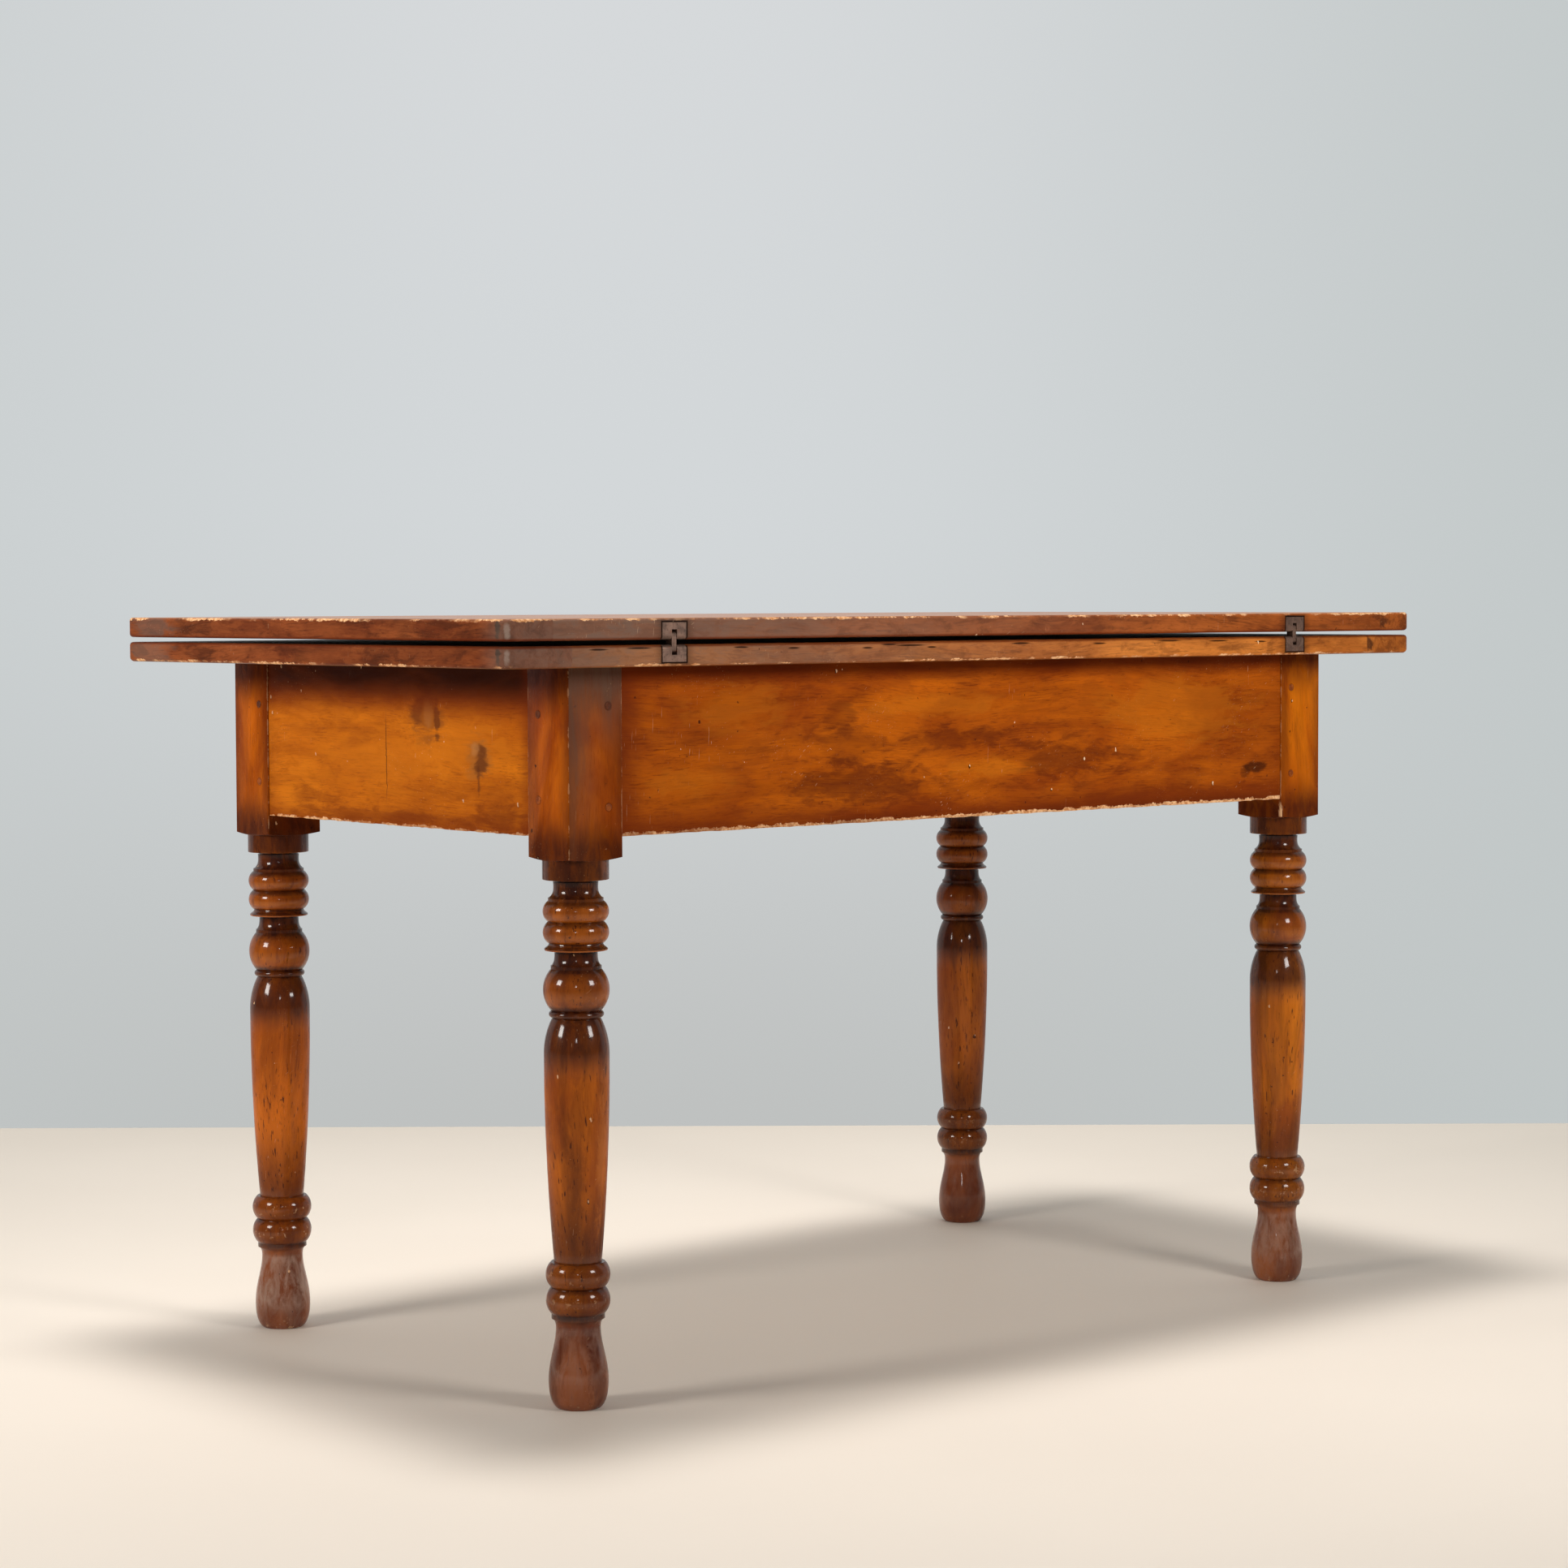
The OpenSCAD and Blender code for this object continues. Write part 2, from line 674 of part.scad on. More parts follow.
module lower_blank() { leaf_blank(leaf_low_z, inner_edge_r, under_edge_r); }
module upper_blank() { leaf_blank(upper_inner_z, top_edge_r, inner_edge_r); }

// The volume of one board: row 0 is at the front, and the tongue enters both cleats
module board_zone(z, cleat_w, row) {
    third = leaf_w / 3;
    near = -leaf_w / 2 + row * third;
    far = near + third;
    run = top_l - 2 * cleat_w;
    tongue_near = row == 0 ? near + tongue_stop : near;
    tongue_far = row == 2 ? far - tongue_stop : far;
    translate([-run / 2, near, z - over]) cube([run, third, leaf_t + 2 * over]);
    translate([-run / 2 - tongue_l, tongue_near, z + (leaf_t - tongue_t) / 2])
        cube([run + 2 * tongue_l, tongue_far - tongue_near, tongue_t]);
}

module cleat_zone(z, cleat_w) {
    difference() {
        translate([-top_l / 2 - over, -leaf_w / 2 - over, z - over])
            cube([cleat_w + over, leaf_w + 2 * over, leaf_t + 2 * over]);
        translate([-top_l / 2 + cleat_w - tongue_l - joint_end_gap,
                   -leaf_w / 2 + tongue_stop - inlay_gap, z + (leaf_t - tongue_t) / 2])
            cube([tongue_l + joint_end_gap + over, leaf_w - 2 * (tongue_stop - inlay_gap),
                  tongue_t]);
    }
}

// Three pegs through each cleat, one for each board's tongue
module cleat_pegs(z, cleat_w, r, extra) {
    for (side = [-1, 1], row = [-1, 0, 1])
        translate([side * (top_l / 2 - cleat_w + cleat_peg_in), row * leaf_w / 3, z - extra])
            cylinder(r = r, h = leaf_t + 2 * extra);
}

module lower_board(row) {
    color("sienna")
    difference() {
        intersection() {
            lower_blank();
            board_zone(leaf_low_z, lower_cleat_w, row);
        }
        cleat_pegs(leaf_low_z, lower_cleat_w, cleat_peg_d / 2 + peg_fit, over);
        if (row == 0) {
            lower_hinge_recesses();
            pivot_recess();
            stop_hole();
        }
    }
}

module upper_board(row) {
    color("peru")
    difference() {
        intersection() {
            upper_blank();
            board_zone(upper_inner_z, upper_cleat_w, row);
        }
        cleat_pegs(upper_inner_z, upper_cleat_w, cleat_peg_d / 2 + peg_fit, over);
        if (row == 0) upper_hinge_recesses();
    }
}

module lower_leaf_front_board() { lower_board(0); }
module lower_leaf_middle_board() { lower_board(1); }
module lower_leaf_rear_board() { lower_board(2); }
module upper_leaf_front_board() { upper_board(0); }
module upper_leaf_middle_board() { upper_board(1); }
module upper_leaf_rear_board() { upper_board(2); }

module lower_leaf_left_cleat() {
    color("brown")
    difference() {
        intersection() {
            lower_blank();
            cleat_zone(leaf_low_z, lower_cleat_w);
        }
        cleat_pegs(leaf_low_z, lower_cleat_w, cleat_peg_d / 2 + peg_fit, over);
    }
}

module lower_leaf_right_cleat() { mirror([1, 0, 0]) lower_leaf_left_cleat(); }

module upper_leaf_left_cleat() {
    color("brown")
    difference() {
        intersection() {
            upper_blank();
            cleat_zone(upper_inner_z, upper_cleat_w);
        }
        cleat_pegs(upper_inner_z, upper_cleat_w, cleat_peg_d / 2 + peg_fit, over);
    }
}

module upper_leaf_right_cleat() { mirror([1, 0, 0]) upper_leaf_left_cleat(); }

module lower_cleat_pegs() {
    color("chocolate") cleat_pegs(leaf_low_z, lower_cleat_w, cleat_peg_d / 2, 0);
}

module upper_cleat_pegs() {
    color("chocolate") cleat_pegs(upper_inner_z, upper_cleat_w, cleat_peg_d / 2, 0);
}

// The pivot plate's screws point up into the leaf
module at_plate_screws() {
    for (i = [0 : plate_screw_n - 1])
        translate([-pivot, -pivot, leaf_low_z])
            rotate([0, 0, 360 * (i + 0.5) / plate_screw_n])
                translate([plate_screw_r, 0, 0])
                    rotate([180, 0, 0]) children();
}

module pivot_plate() {
    color("dimgray")
    difference() {
        translate([-pivot, -pivot, leaf_low_z])
            difference() {
                cylinder(d = pivot_plate_d, h = pivot_plate_t);
                translate([0, 0, -over])
                    cylinder(r = bolt_d / 2 + run_fit, h = pivot_plate_t + 2 * over);
            }
        at_plate_screws() screw(screw_head_d, screw_d, plate_screw_l, peg_fit);
    }
}

module pivot_recess() {
    translate([-pivot, -pivot, leaf_low_z - over]) {
        cylinder(r = pivot_plate_d / 2 + inlay_gap, h = pivot_plate_t + over);
        cylinder(r = bolt_head_d / 2 + inlay_gap, h = pivot_plate_t + bolt_head_t + over);
    }
    at_plate_screws() screw(screw_head_d, screw_d, plate_screw_l, peg_fit);
}

module pivot_plate_screws() {
    color("gray") at_plate_screws() slotted_screw(screw_head_d, screw_d, plate_screw_l);
}

module pivot_bolt() {
    tip_z = rail_low_z - stop_gap - washer_t - nut_h - bolt_past;
    head_z = leaf_low_z + pivot_plate_t;
    color("slategray")
    translate([-pivot, -pivot, 0]) {
        translate([0, 0, tip_z]) cylinder(r = bolt_d / 2, h = head_z + over - tip_z);
        translate([0, 0, head_z]) cylinder(d = bolt_head_d, h = bolt_head_t);
    }
}

module pivot_washer() {
    color("silver")
    translate([-pivot, -pivot, rail_low_z - stop_gap - washer_t])
        difference() {
            cylinder(d = washer_d, h = washer_t);
            translate([0, 0, -over])
                cylinder(r = bolt_d / 2 + run_fit, h = washer_t + 2 * over);
        }
}

module pivot_nut() {
    color("gray")
    translate([-pivot, -pivot, rail_low_z - stop_gap - washer_t - nut_h])
        difference() {
            translate([-nut_side / 2, -nut_side / 2, 0]) cube([nut_side, nut_side, nut_h]);
            translate([0, 0, -over])
                cylinder(r = bolt_d / 2 + run_fit, h = nut_h + 2 * over);
        }
}

// The stop peg meets the front apron when closed and the rail after a quarter turn
module at_stop() {
    translate([-pivot + stop_reach, -pivot - stop_side, leaf_low_z]) children();
}

module stop_peg() {
    color("chocolate")
    at_stop() {
        translate([0, 0, -stop_l]) cylinder(r = stop_r, h = stop_l);
        translate([0, 0, -over]) cylinder(d = stop_spigot_d, h = stop_spigot_l + over);
    }
}

module stop_hole() {
    at_stop()
        translate([0, 0, -over])
            cylinder(r = stop_spigot_d / 2 + peg_fit, h = stop_spigot_l + over + inlay_gap);
}

// Hinge parts are drawn on the lower leaf, then turned over for the upper leaf
module at_hinge(side) {
    translate([side * hinge_x, -leaf_w / 2, lower_inner_z]) children();
}

module turn_over() {
    translate([0, 0, lower_inner_z + upper_inner_z]) mirror([0, 0, 1]) children();
}

// Rounds the folding edge of a hinge plate like the leaf that holds it
module eased_zone() {
    rotate([90, 0, 90])
        translate([0, 0, -plate_w])
            linear_extrude(2 * plate_w) {
                translate([inner_edge_r, -inner_edge_r]) circle(r = inner_edge_r);
                translate([0, -leaf_t]) square([plate_reach + over, leaf_t - inner_edge_r]);
                translate([inner_edge_r, -leaf_t]) square([plate_reach + over, leaf_t]);
            }
}

module plate_blank(grow) {
    translate([-plate_w / 2 - grow, -grow, -plate_edge_h - grow])
        cube([plate_w + 2 * grow, plate_edge_t + 2 * grow, plate_edge_h + grow]);
    translate([-plate_w / 2 - grow, -grow, -plate_face_t - grow / 10])
        cube([plate_w + 2 * grow, plate_reach + 2 * grow, plate_face_t + grow / 10]);
    translate([-knuckle_w / 2 - grow, -grow, -slot_deep - knuckle_wall - grow])
        cube([knuckle_w + 2 * grow, slot_back + knuckle_wall + 2 * grow,
              slot_deep + knuckle_wall + grow]);
}

module at_hinge_screws() {
    for (side = [-1, 1])
        translate([side * hinge_screw_side, hinge_screw_in, 0]) children();
}

module hinge_plate() {
    difference() {
        intersection() {
            plate_blank(0);
            eased_zone();
        }
        translate([-slot_w / 2, -over, -slot_deep])
            cube([slot_w, slot_back + over, slot_deep + over]);
        translate([-plate_w / 2 - over, pin_in, -pin_down])
            rotate([0, 90, 0]) cylinder(r = pin_d / 2 + run_fit, h = plate_w + 2 * over);
        at_hinge_screws() screw(hinge_screw_head_d, hinge_screw_d, hinge_screw_l, peg_fit);
    }
}

module lower_hinge_recesses() {
    for (side = [-1, 1])
        at_hinge(side) {
            translate([0, 0, over / 100]) plate_blank(inlay_gap);
            at_hinge_screws() screw(hinge_screw_head_d, hinge_screw_d, hinge_screw_l, peg_fit);
        }
}

module upper_hinge_recesses() { turn_over() lower_hinge_recesses(); }

module left_hinge_lower_plate() { color("dimgray") at_hinge(-1) hinge_plate(); }
module right_hinge_lower_plate() { color("dimgray") at_hinge(1) hinge_plate(); }
module left_hinge_upper_plate() { turn_over() left_hinge_lower_plate(); }
module right_hinge_upper_plate() { turn_over() right_hinge_lower_plate(); }

module lower_hinge_pins() {
    color("silver")
    for (side = [-1, 1])
        at_hinge(side)
            translate([-knuckle_w / 2, pin_in, -pin_down])
                rotate([0, 90, 0]) cylinder(r = pin_d / 2, h = knuckle_w);
}

module upper_hinge_pins() { turn_over() lower_hinge_pins(); }

module lower_hinge_screws() {
    color("gray")
    for (side = [-1, 1])
        at_hinge(side) at_hinge_screws()
            slotted_screw(hinge_screw_head_d, hinge_screw_d, hinge_screw_l);
}

module upper_hinge_screws() { turn_over() lower_hinge_screws(); }

// Side view of a link: y forwards is negative, z up, with its lower pin at the origin
module link_outline() {
    w = link_front + link_back;
    h = pin_span + 2 * link_end;
    translate([-link_front, -link_end]) {
        translate([link_corner_r, 0]) square([w - 2 * link_corner_r, h]);
        translate([0, link_corner_r]) square([w, h - 2 * link_corner_r]);
        for (y = [link_corner_r, w - link_corner_r], z = [link_corner_r, h - link_corner_r])
            translate([y, z]) circle(r = link_corner_r);
    }
}

module hinge_link(side) {
    color("lightslategray")
    at_hinge(side)
        translate([-link_t / 2, pin_in, -pin_down])
            rotate([90, 0, 90])
                linear_extrude(link_t)
                    difference() {
                        link_outline();
                        for (z = [0, pin_span])
                            translate([0, z]) circle(r = pin_d / 2 + run_fit);
                    }
}

module left_hinge_link() { hinge_link(-1); }
module right_hinge_link() { hinge_link(1); }

front_left_leg();
front_right_leg();
rear_left_leg();
rear_right_leg();
front_apron();
rear_apron();
left_apron();
right_apron();
long_apron_pegs();
end_apron_pegs();
front_ledger();
rear_ledger();
ledger_nails();
well_floor_board_1();
well_floor_board_2();
well_floor_board_3();
well_floor_board_4();
well_floor_board_5();
pivot_rail();
pivot_rail_screws();
pivot_bush();
lower_leaf_front_board();
lower_leaf_middle_board();
lower_leaf_rear_board();
lower_leaf_left_cleat();
lower_leaf_right_cleat();
lower_cleat_pegs();
pivot_plate();
pivot_plate_screws();
pivot_bolt();
pivot_washer();
pivot_nut();
stop_peg();
left_hinge_lower_plate();
right_hinge_lower_plate();
lower_hinge_pins();
lower_hinge_screws();
left_hinge_link();
right_hinge_link();
left_hinge_upper_plate();
right_hinge_upper_plate();
upper_hinge_pins();
upper_hinge_screws();
upper_leaf_front_board();
upper_leaf_middle_board();
upper_leaf_rear_board();
upper_leaf_left_cleat();
upper_leaf_right_cleat();
upper_cleat_pegs();
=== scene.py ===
import math
import bmesh
import bpy
from mathutils import Matrix, Vector, noise


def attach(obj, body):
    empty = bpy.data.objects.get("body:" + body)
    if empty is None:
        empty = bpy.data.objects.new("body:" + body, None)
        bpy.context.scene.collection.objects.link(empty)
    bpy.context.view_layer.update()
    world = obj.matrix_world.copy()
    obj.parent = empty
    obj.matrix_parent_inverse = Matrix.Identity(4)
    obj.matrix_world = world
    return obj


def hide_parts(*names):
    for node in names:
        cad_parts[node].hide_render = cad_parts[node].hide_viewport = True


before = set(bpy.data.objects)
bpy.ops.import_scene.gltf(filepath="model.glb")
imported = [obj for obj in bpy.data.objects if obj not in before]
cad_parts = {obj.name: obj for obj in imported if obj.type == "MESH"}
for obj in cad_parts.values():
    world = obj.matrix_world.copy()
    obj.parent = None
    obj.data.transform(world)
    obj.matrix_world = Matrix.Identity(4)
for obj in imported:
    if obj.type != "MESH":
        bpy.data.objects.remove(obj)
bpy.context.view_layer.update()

# Camera.
# It stands off the front left corner of the table, a little above the height of the top.
camera_place = Vector((-2.7103, -3.1578, 0.80866))
camera_yaw = 0.7066
camera_pitch = 0.0509
camera_roll = -0.0032
bpy.ops.object.camera_add()
camera = bpy.context.object
camera.data.sensor_width = 36
camera.data.lens = 83.64
camera.matrix_world = (
    Matrix.Translation(camera_place)
    @ Matrix.Rotation(-camera_yaw, 4, "Z")
    @ Matrix.Rotation(math.pi / 2 - camera_pitch, 4, "X")
    @ Matrix.Rotation(camera_roll, 4, "Z")
)
bpy.context.scene.camera = camera
bpy.context.scene.view_settings.view_transform = "Standard"

# Studio.
# A pale floor and a pale wall behind the table, under a soft sky of light from above,
# with one soft lamp on each side of the camera and a small one beside it.
floor_size = 60
wall_distance = 5.56
wall_width = 16
wall_height = 6
lamp_target = Vector((0, 0, 0.85))


def tone(red, green, blue):
    """A colour written in the 0 to 255 steps of a paint card, as linear light."""
    steps = (red / 255, green / 255, blue / 255)
    return tuple(s / 12.92 if s < 0.04045 else ((s + 0.055) / 1.055) ** 2.4 for s in steps) + (1,)


def add_node(kind, inlets, **settings):
    """Adds a shader node; an inlet takes a plain value, or the outlet of a node of the same tree."""
    tree = next(value.id_data for value in inlets.values() if isinstance(value, bpy.types.NodeSocket))
    made = tree.nodes.new("ShaderNode" + kind)
    for key, value in settings.items():
        setattr(made, key, value)
    for key, value in inlets.items():
        if isinstance(value, bpy.types.NodeSocket):
            tree.links.new(value, made.inputs[key])
        else:
            made.inputs[key].default_value = value
    return made


def combine(operation, total, *others):
    """One operation taken along a row of values."""
    for other in others:
        total = add_node("Math", {0: total, 1: other}, operation=operation).outputs[0]
    return total


def product(*values):
    return combine("MULTIPLY", *values)


def greatest(*values):
    return combine("MAXIMUM", *values)


def remap(value, start, end, low=0, high=1):
    """Eases a value from its range start to end into the range low to high."""
    inlets = {"Value": value, "From Min": start, "From Max": end, "To Min": low, "To Max": high}
    return add_node("MapRange", inlets, interpolation_type="SMOOTHSTEP").outputs[0]


def axes_of(vector):
    """The three parts of a place or direction."""
    return add_node("SeparateXYZ", {0: vector}).outputs


def pattern(vector, scale, detail=3, roughness=0.55, distortion=0):
    """A soft random pattern between 0 and 1."""
    inlets = dict(Vector=vector, Scale=scale, Detail=detail, Roughness=roughness, Distortion=distortion)
    return add_node("TexNoise", inlets).outputs[0]


def blend(share, first, second, blend_type="MIX"):
    """Mixes two colours, or lays the second over the first in another way."""
    inlets = {0: share, 6: first, 7: second}
    return add_node("Mix", inlets, data_type="RGBA", blend_type=blend_type).outputs[2]


def layer(colour, *coats):
    """Lays coats over a colour, each a new colour and the values that give its share together."""
    for over, *shares in coats:
        colour = blend(product(*shares), colour, over)
    return colour


def new_material(name):
    """An empty material, and the outlet that says where a point lies on the piece."""
    material = bpy.data.materials.new(name)
    material.use_nodes = True
    material.node_tree.nodes.clear()
    return material, material.node_tree.nodes.new("ShaderNodeTexCoord").outputs["Object"]


def end_material(inlets):
    """Ends a material with one surface shader."""
    shader = add_node("BsdfPrincipled", inlets).outputs[0]
    add_node("OutputMaterial", {"Surface": shader})


bpy.ops.mesh.primitive_plane_add(size=floor_size)
floor = bpy.context.object
floor.name = "studio_floor"
floor_material, place = new_material("floor_paint")
mottle = remap(pattern(place, 1.3, 4, 0.5), 0.3, 0.7)
end_material({
    "Base Color": blend(mottle, tone(230, 219, 206), tone(233, 222, 209)),
    "Roughness": 0.62,
    "Specular IOR Level": 0.2,
})
floor.data.materials.append(floor_material)

away_from_camera = Vector((math.sin(camera_yaw), math.cos(camera_yaw), 0)) * wall_distance
bpy.ops.mesh.primitive_plane_add(size=1)
wall = bpy.context.object
wall.name = "studio_wall"
wall.matrix_world = (
    Matrix.Translation(camera_place * Vector((1, 1, 0)) + away_from_camera + Vector((0, 0, wall_height / 2)))
    @ Matrix.Rotation(-camera_yaw, 4, "Z")
    @ Matrix.Rotation(math.pi / 2, 4, "X")
    @ Matrix.Diagonal((wall_width, wall_height, 1, 1))
)
# The wall glows with painted light of its own, lighter towards its top and darker towards its foot and its
# two sides. From behind it is clear.
wall_material, place = new_material("wall_painted_glow")
across, upward, _ = axes_of(place)
right_side = remap(across, -0.01, 0.085, 0, 0.85)
left_side = remap(across, -0.02, -0.09, 0, 0.45)
colour = layer(
    tone(190, 192, 191),
    (tone(211, 215, 217), remap(upward, -0.52, -0.33)),
    (tone(214, 217, 219), remap(upward, -0.34, -0.2)),
    (tone(193, 199, 199), greatest(right_side, left_side)),
)
painted = add_node("Emission", {"Color": colour}).outputs[0]
clear = wall_material.node_tree.nodes.new("ShaderNodeBsdfTransparent").outputs[0]
behind = wall_material.node_tree.nodes.new("ShaderNodeNewGeometry").outputs["Backfacing"]
shader = add_node("MixShader", {0: behind, 1: painted, 2: clear}).outputs[0]
add_node("OutputMaterial", {"Surface": shader})
wall.data.materials.append(wall_material)

sky = bpy.data.worlds.new("studio_sky")
bpy.context.scene.world = sky
sky.use_nodes = True
sky.node_tree.nodes.clear()
height = axes_of(sky.node_tree.nodes.new("ShaderNodeTexCoord").outputs["Generated"])[2]
colour = blend(remap(height, 0.1, 0.75), (0.13, 0.134, 0.138, 1), (0.06, 0.06, 0.06, 1))
shader = add_node("Background", {"Color": colour}).outputs[0]
add_node("OutputWorld", {"Surface": shader})


def soft_lamp(name, spot, size, watts, warmth, spread):
    """A soft square lamp that looks at the middle of the table."""
    bpy.ops.object.light_add(type="AREA", location=spot)
    lamp = bpy.context.object
    lamp.name = name
    lamp.data.shape = "RECTANGLE"
    lamp.data.size = size[0]
    lamp.data.size_y = size[1]
    lamp.data.energy = watts
    lamp.data.color = warmth
    lamp.data.spread = math.radians(spread)
    lamp.rotation_euler = (lamp_target - Vector(spot)).to_track_quat("-Z", "Y").to_euler()


soft_lamp("left_lamp", (-2.7, 0.27, 1.4), (0.68, 0.66), 11.8, (1, 0.97, 0.92), 100)
soft_lamp("right_lamp", (0.32, -2.3, 1.4), (0.64, 0.62), 9.8, (1, 0.98, 0.95), 100)
soft_lamp("near_lamp", (-2.17, -2.4, 1.15), (0.14, 0.2), 0.9, (1, 1, 1), 100)
soft_lamp("ceiling_lamp", (-0.22, 0.31, 5.2), (1, 1), 178, (1, 0.99, 0.97), 180)

# Legs.
# Each leg is turned from one square blank: the block at its top is left square for the aprons,
# and everything below the shoulder comes off the lathe. Stained, polished and much handled.
frame_top = 0.7417
half_block = 0.0335
shoulder_top = 0.5527
shoulder_radius = 0.0484
collar_top = 0.5497
collar_low = 0.5303
collar_radius = 0.0334
neck_top = 0.5279
neck_low = 0.5119
bead_top = 0.5087
bead_mid = 0.4883
bead_low = 0.4669
flange_low = 0.4597
low_neck_top = 0.4573
low_neck_low = 0.4443
ball_top = 0.4411
ball_low = 0.3993
shaft_top = 0.3923
shaft_full = 0.3567
shaft_low = 0.147
ring_mid = 0.1218
ring_low = 0.0952
ankle_top = 0.0902
foot_high = 0.0808
foot_belly = 0.0274
leg_sides = 96
leg_x = 0.52
leg_y = 0.272
mortise_low = (-0.013, -0.026, 0.5877)
mortise_high = (0.035, -0.016, 0.7217)
peg_inset = 0.016
long_peg_drops = (0.0387, 0.139)
end_peg_drops = (0.047, 0.132)
merge_distance = 0.00001
# A box side as far off as this has no arris, so nothing wears along it.
unworn = 2


def bead(top, low, groove, crown, steps):
    """A round moulding between two grooves, as radius and height pairs."""
    half = (top - low) / 2
    bulge = crown - groove
    arc = (half * half + bulge * bulge) / (2 * bulge)
    reach = math.asin(half / arc)
    turns = [reach * (1 - 2 * i / steps) for i in range(steps + 1)]
    return [(crown - arc + arc * math.cos(t), (top + low) / 2 + arc * math.sin(t)) for t in turns]


def sweep(start, pull, push, end, steps):
    """A hollow or swelling between two points, drawn with two handles."""
    points = []
    for i in range(steps + 1):
        t = i / steps
        u = 1 - t
        shares = (u * u * u, 3 * u * u * t, 3 * u * t * t, t * t * t)
        corners = (start, pull, push, end)
        points.append(tuple(sum(s * c[k] for s, c in zip(shares, corners)) for k in (0, 1)))
    return points


def taper(top, low, thick, thin, steps):
    """The long, slightly swelling taper of the shaft."""
    fall = top - low
    step = thick - thin
    arc = (fall * fall + step * step) / (2 * step)
    drops = [fall * i / steps for i in range(steps + 1)]
    return [(thick - arc + math.sqrt(arc * arc - d * d), top - d) for d in drops]


turning = [
    (collar_radius, collar_top + 0.001), (collar_radius, collar_low + 0.0004), (0.033, collar_low),
    (0.0213, collar_low), (0.0213, neck_top),
    *sweep((0.0227, neck_top), (0.0219, neck_top - 0.008), (0.0224, neck_low + 0.004), (0.027, neck_low), 14),
    (0.0278, neck_low), (0.0278, bead_top),
    *bead(bead_top, bead_mid, 0.0281, 0.0332, 20),
    *bead(bead_mid, bead_low, 0.0279, 0.0332, 20),
    *sweep((0.0271, bead_low), (0.0276, bead_low - 0.0036), (0.0304, flange_low + 0.0036),
           (0.0319, flange_low + 0.0014), 8),
    (0.0315, flange_low), (0.0203, flange_low), (0.0203, low_neck_top),
    *sweep((0.0216, low_neck_top), (0.0216, low_neck_top - 0.0065), (0.022, low_neck_low + 0.00325),
           (0.0249, low_neck_low), 12),
    (0.0255, low_neck_low), (0.0255, ball_top),
    *bead(ball_top, ball_low, 0.0253, 0.0333, 30),
    *bead(ball_low, shaft_top, 0.0248, 0.0276, 10),
    *sweep((0.024, shaft_top), (0.0275, shaft_top - 0.0059), (0.0329, shaft_full + 0.016),
           (0.0329, shaft_full - 0.0001), 18),
    *taper(shaft_full - 0.001, shaft_low, 0.0329, 0.0239, 22),
    *bead(shaft_low, ring_mid, 0.0272, 0.0325, 20),
    *bead(ring_mid, ring_low, 0.027, 0.0324, 20),
    (0.0268, ring_low), (0.0268, ankle_top),
    *sweep((0.0256, ankle_top), (0.0237, ankle_top - 0.0024), (0.0225, foot_high + 0.0047),
           (0.0225, foot_high), 10),
    *sweep((0.0225, foot_high - 0.0001), (0.0225, foot_high - 0.018), (0.0302, foot_belly + 0.022),
           (0.0302, foot_belly), 18),
    *sweep((0.0302, foot_belly - 0.0001), (0.0302, 0.45 * foot_belly), (0.027, 0.12 * foot_belly),
           (0.022, 0), 14),
]


def pick(kind, test):
    """Selects only the points, edges or faces of the open mesh that pass the test."""
    bpy.ops.mesh.select_all(action="DESELECT")
    bpy.ops.mesh.select_mode(type=kind)
    form = bmesh.from_edit_mesh(bpy.context.object.data)
    for part in {"VERT": form.verts, "EDGE": form.edges, "FACE": form.faces}[kind]:
        if test(part):
            part.select_set(True)
    form.select_flush_mode()
    bmesh.update_edit_mesh(bpy.context.object.data)


def middle_of(part):
    """The middle of an edge or face."""
    return sum((v.co for v in part.verts), Vector()) / len(part.verts)


def runs_along(edge, axis):
    """Whether an edge runs along X, Y or Z."""
    way = (edge.verts[1].co - edge.verts[0].co).normalized()
    return abs(way[axis]) > 0.99


def set_mode(mode):
    bpy.ops.object.mode_set(mode=mode)


def extrude(shift, size=(1, 1, 1), centre=(0, 0, 0)):
    """Draws the selected faces out, then sizes them about a point."""
    bpy.ops.mesh.extrude_region_move(TRANSFORM_OT_translate={"value": shift})
    bpy.ops.transform.resize(value=size, center_override=centre)


def turn_outward():
    """Faces every side of the open mesh outwards and closes it."""
    bpy.ops.mesh.select_all(action="SELECT")
    bpy.ops.mesh.normals_make_consistent(inside=False)
    set_mode("OBJECT")


def hold(piece):
    """Makes one piece the only one selected."""
    bpy.ops.object.select_all(action="DESELECT")
    bpy.context.view_layer.objects.active = piece
    piece.select_set(True)


def shape_with(piece, kind, settings):
    """Puts a modifier on a piece and applies it."""
    hold(piece)
    modifier = piece.modifiers.new("shaping", kind)
    for key, value in settings.items():
        setattr(modifier, key, value)
    bpy.ops.object.modifier_apply(modifier=modifier.name)


def carve(piece, tool, operation):
    """Cuts, keeps or joins one solid with another, and takes the tool away."""
    shape_with(piece, "BOOLEAN", {"operation": operation, "solver": "EXACT", "object": tool})
    bpy.data.objects.remove(tool)


def block_piece(name, low, high):
    """Adds a box between two corners, open for shaping."""
    size = Vector(high) - Vector(low)
    bpy.ops.mesh.primitive_cube_add(size=1, location=Vector(low) + size / 2, scale=size)
    piece = bpy.context.object
    piece.name = name
    bpy.ops.object.transform_apply()
    set_mode("EDIT")
    return piece


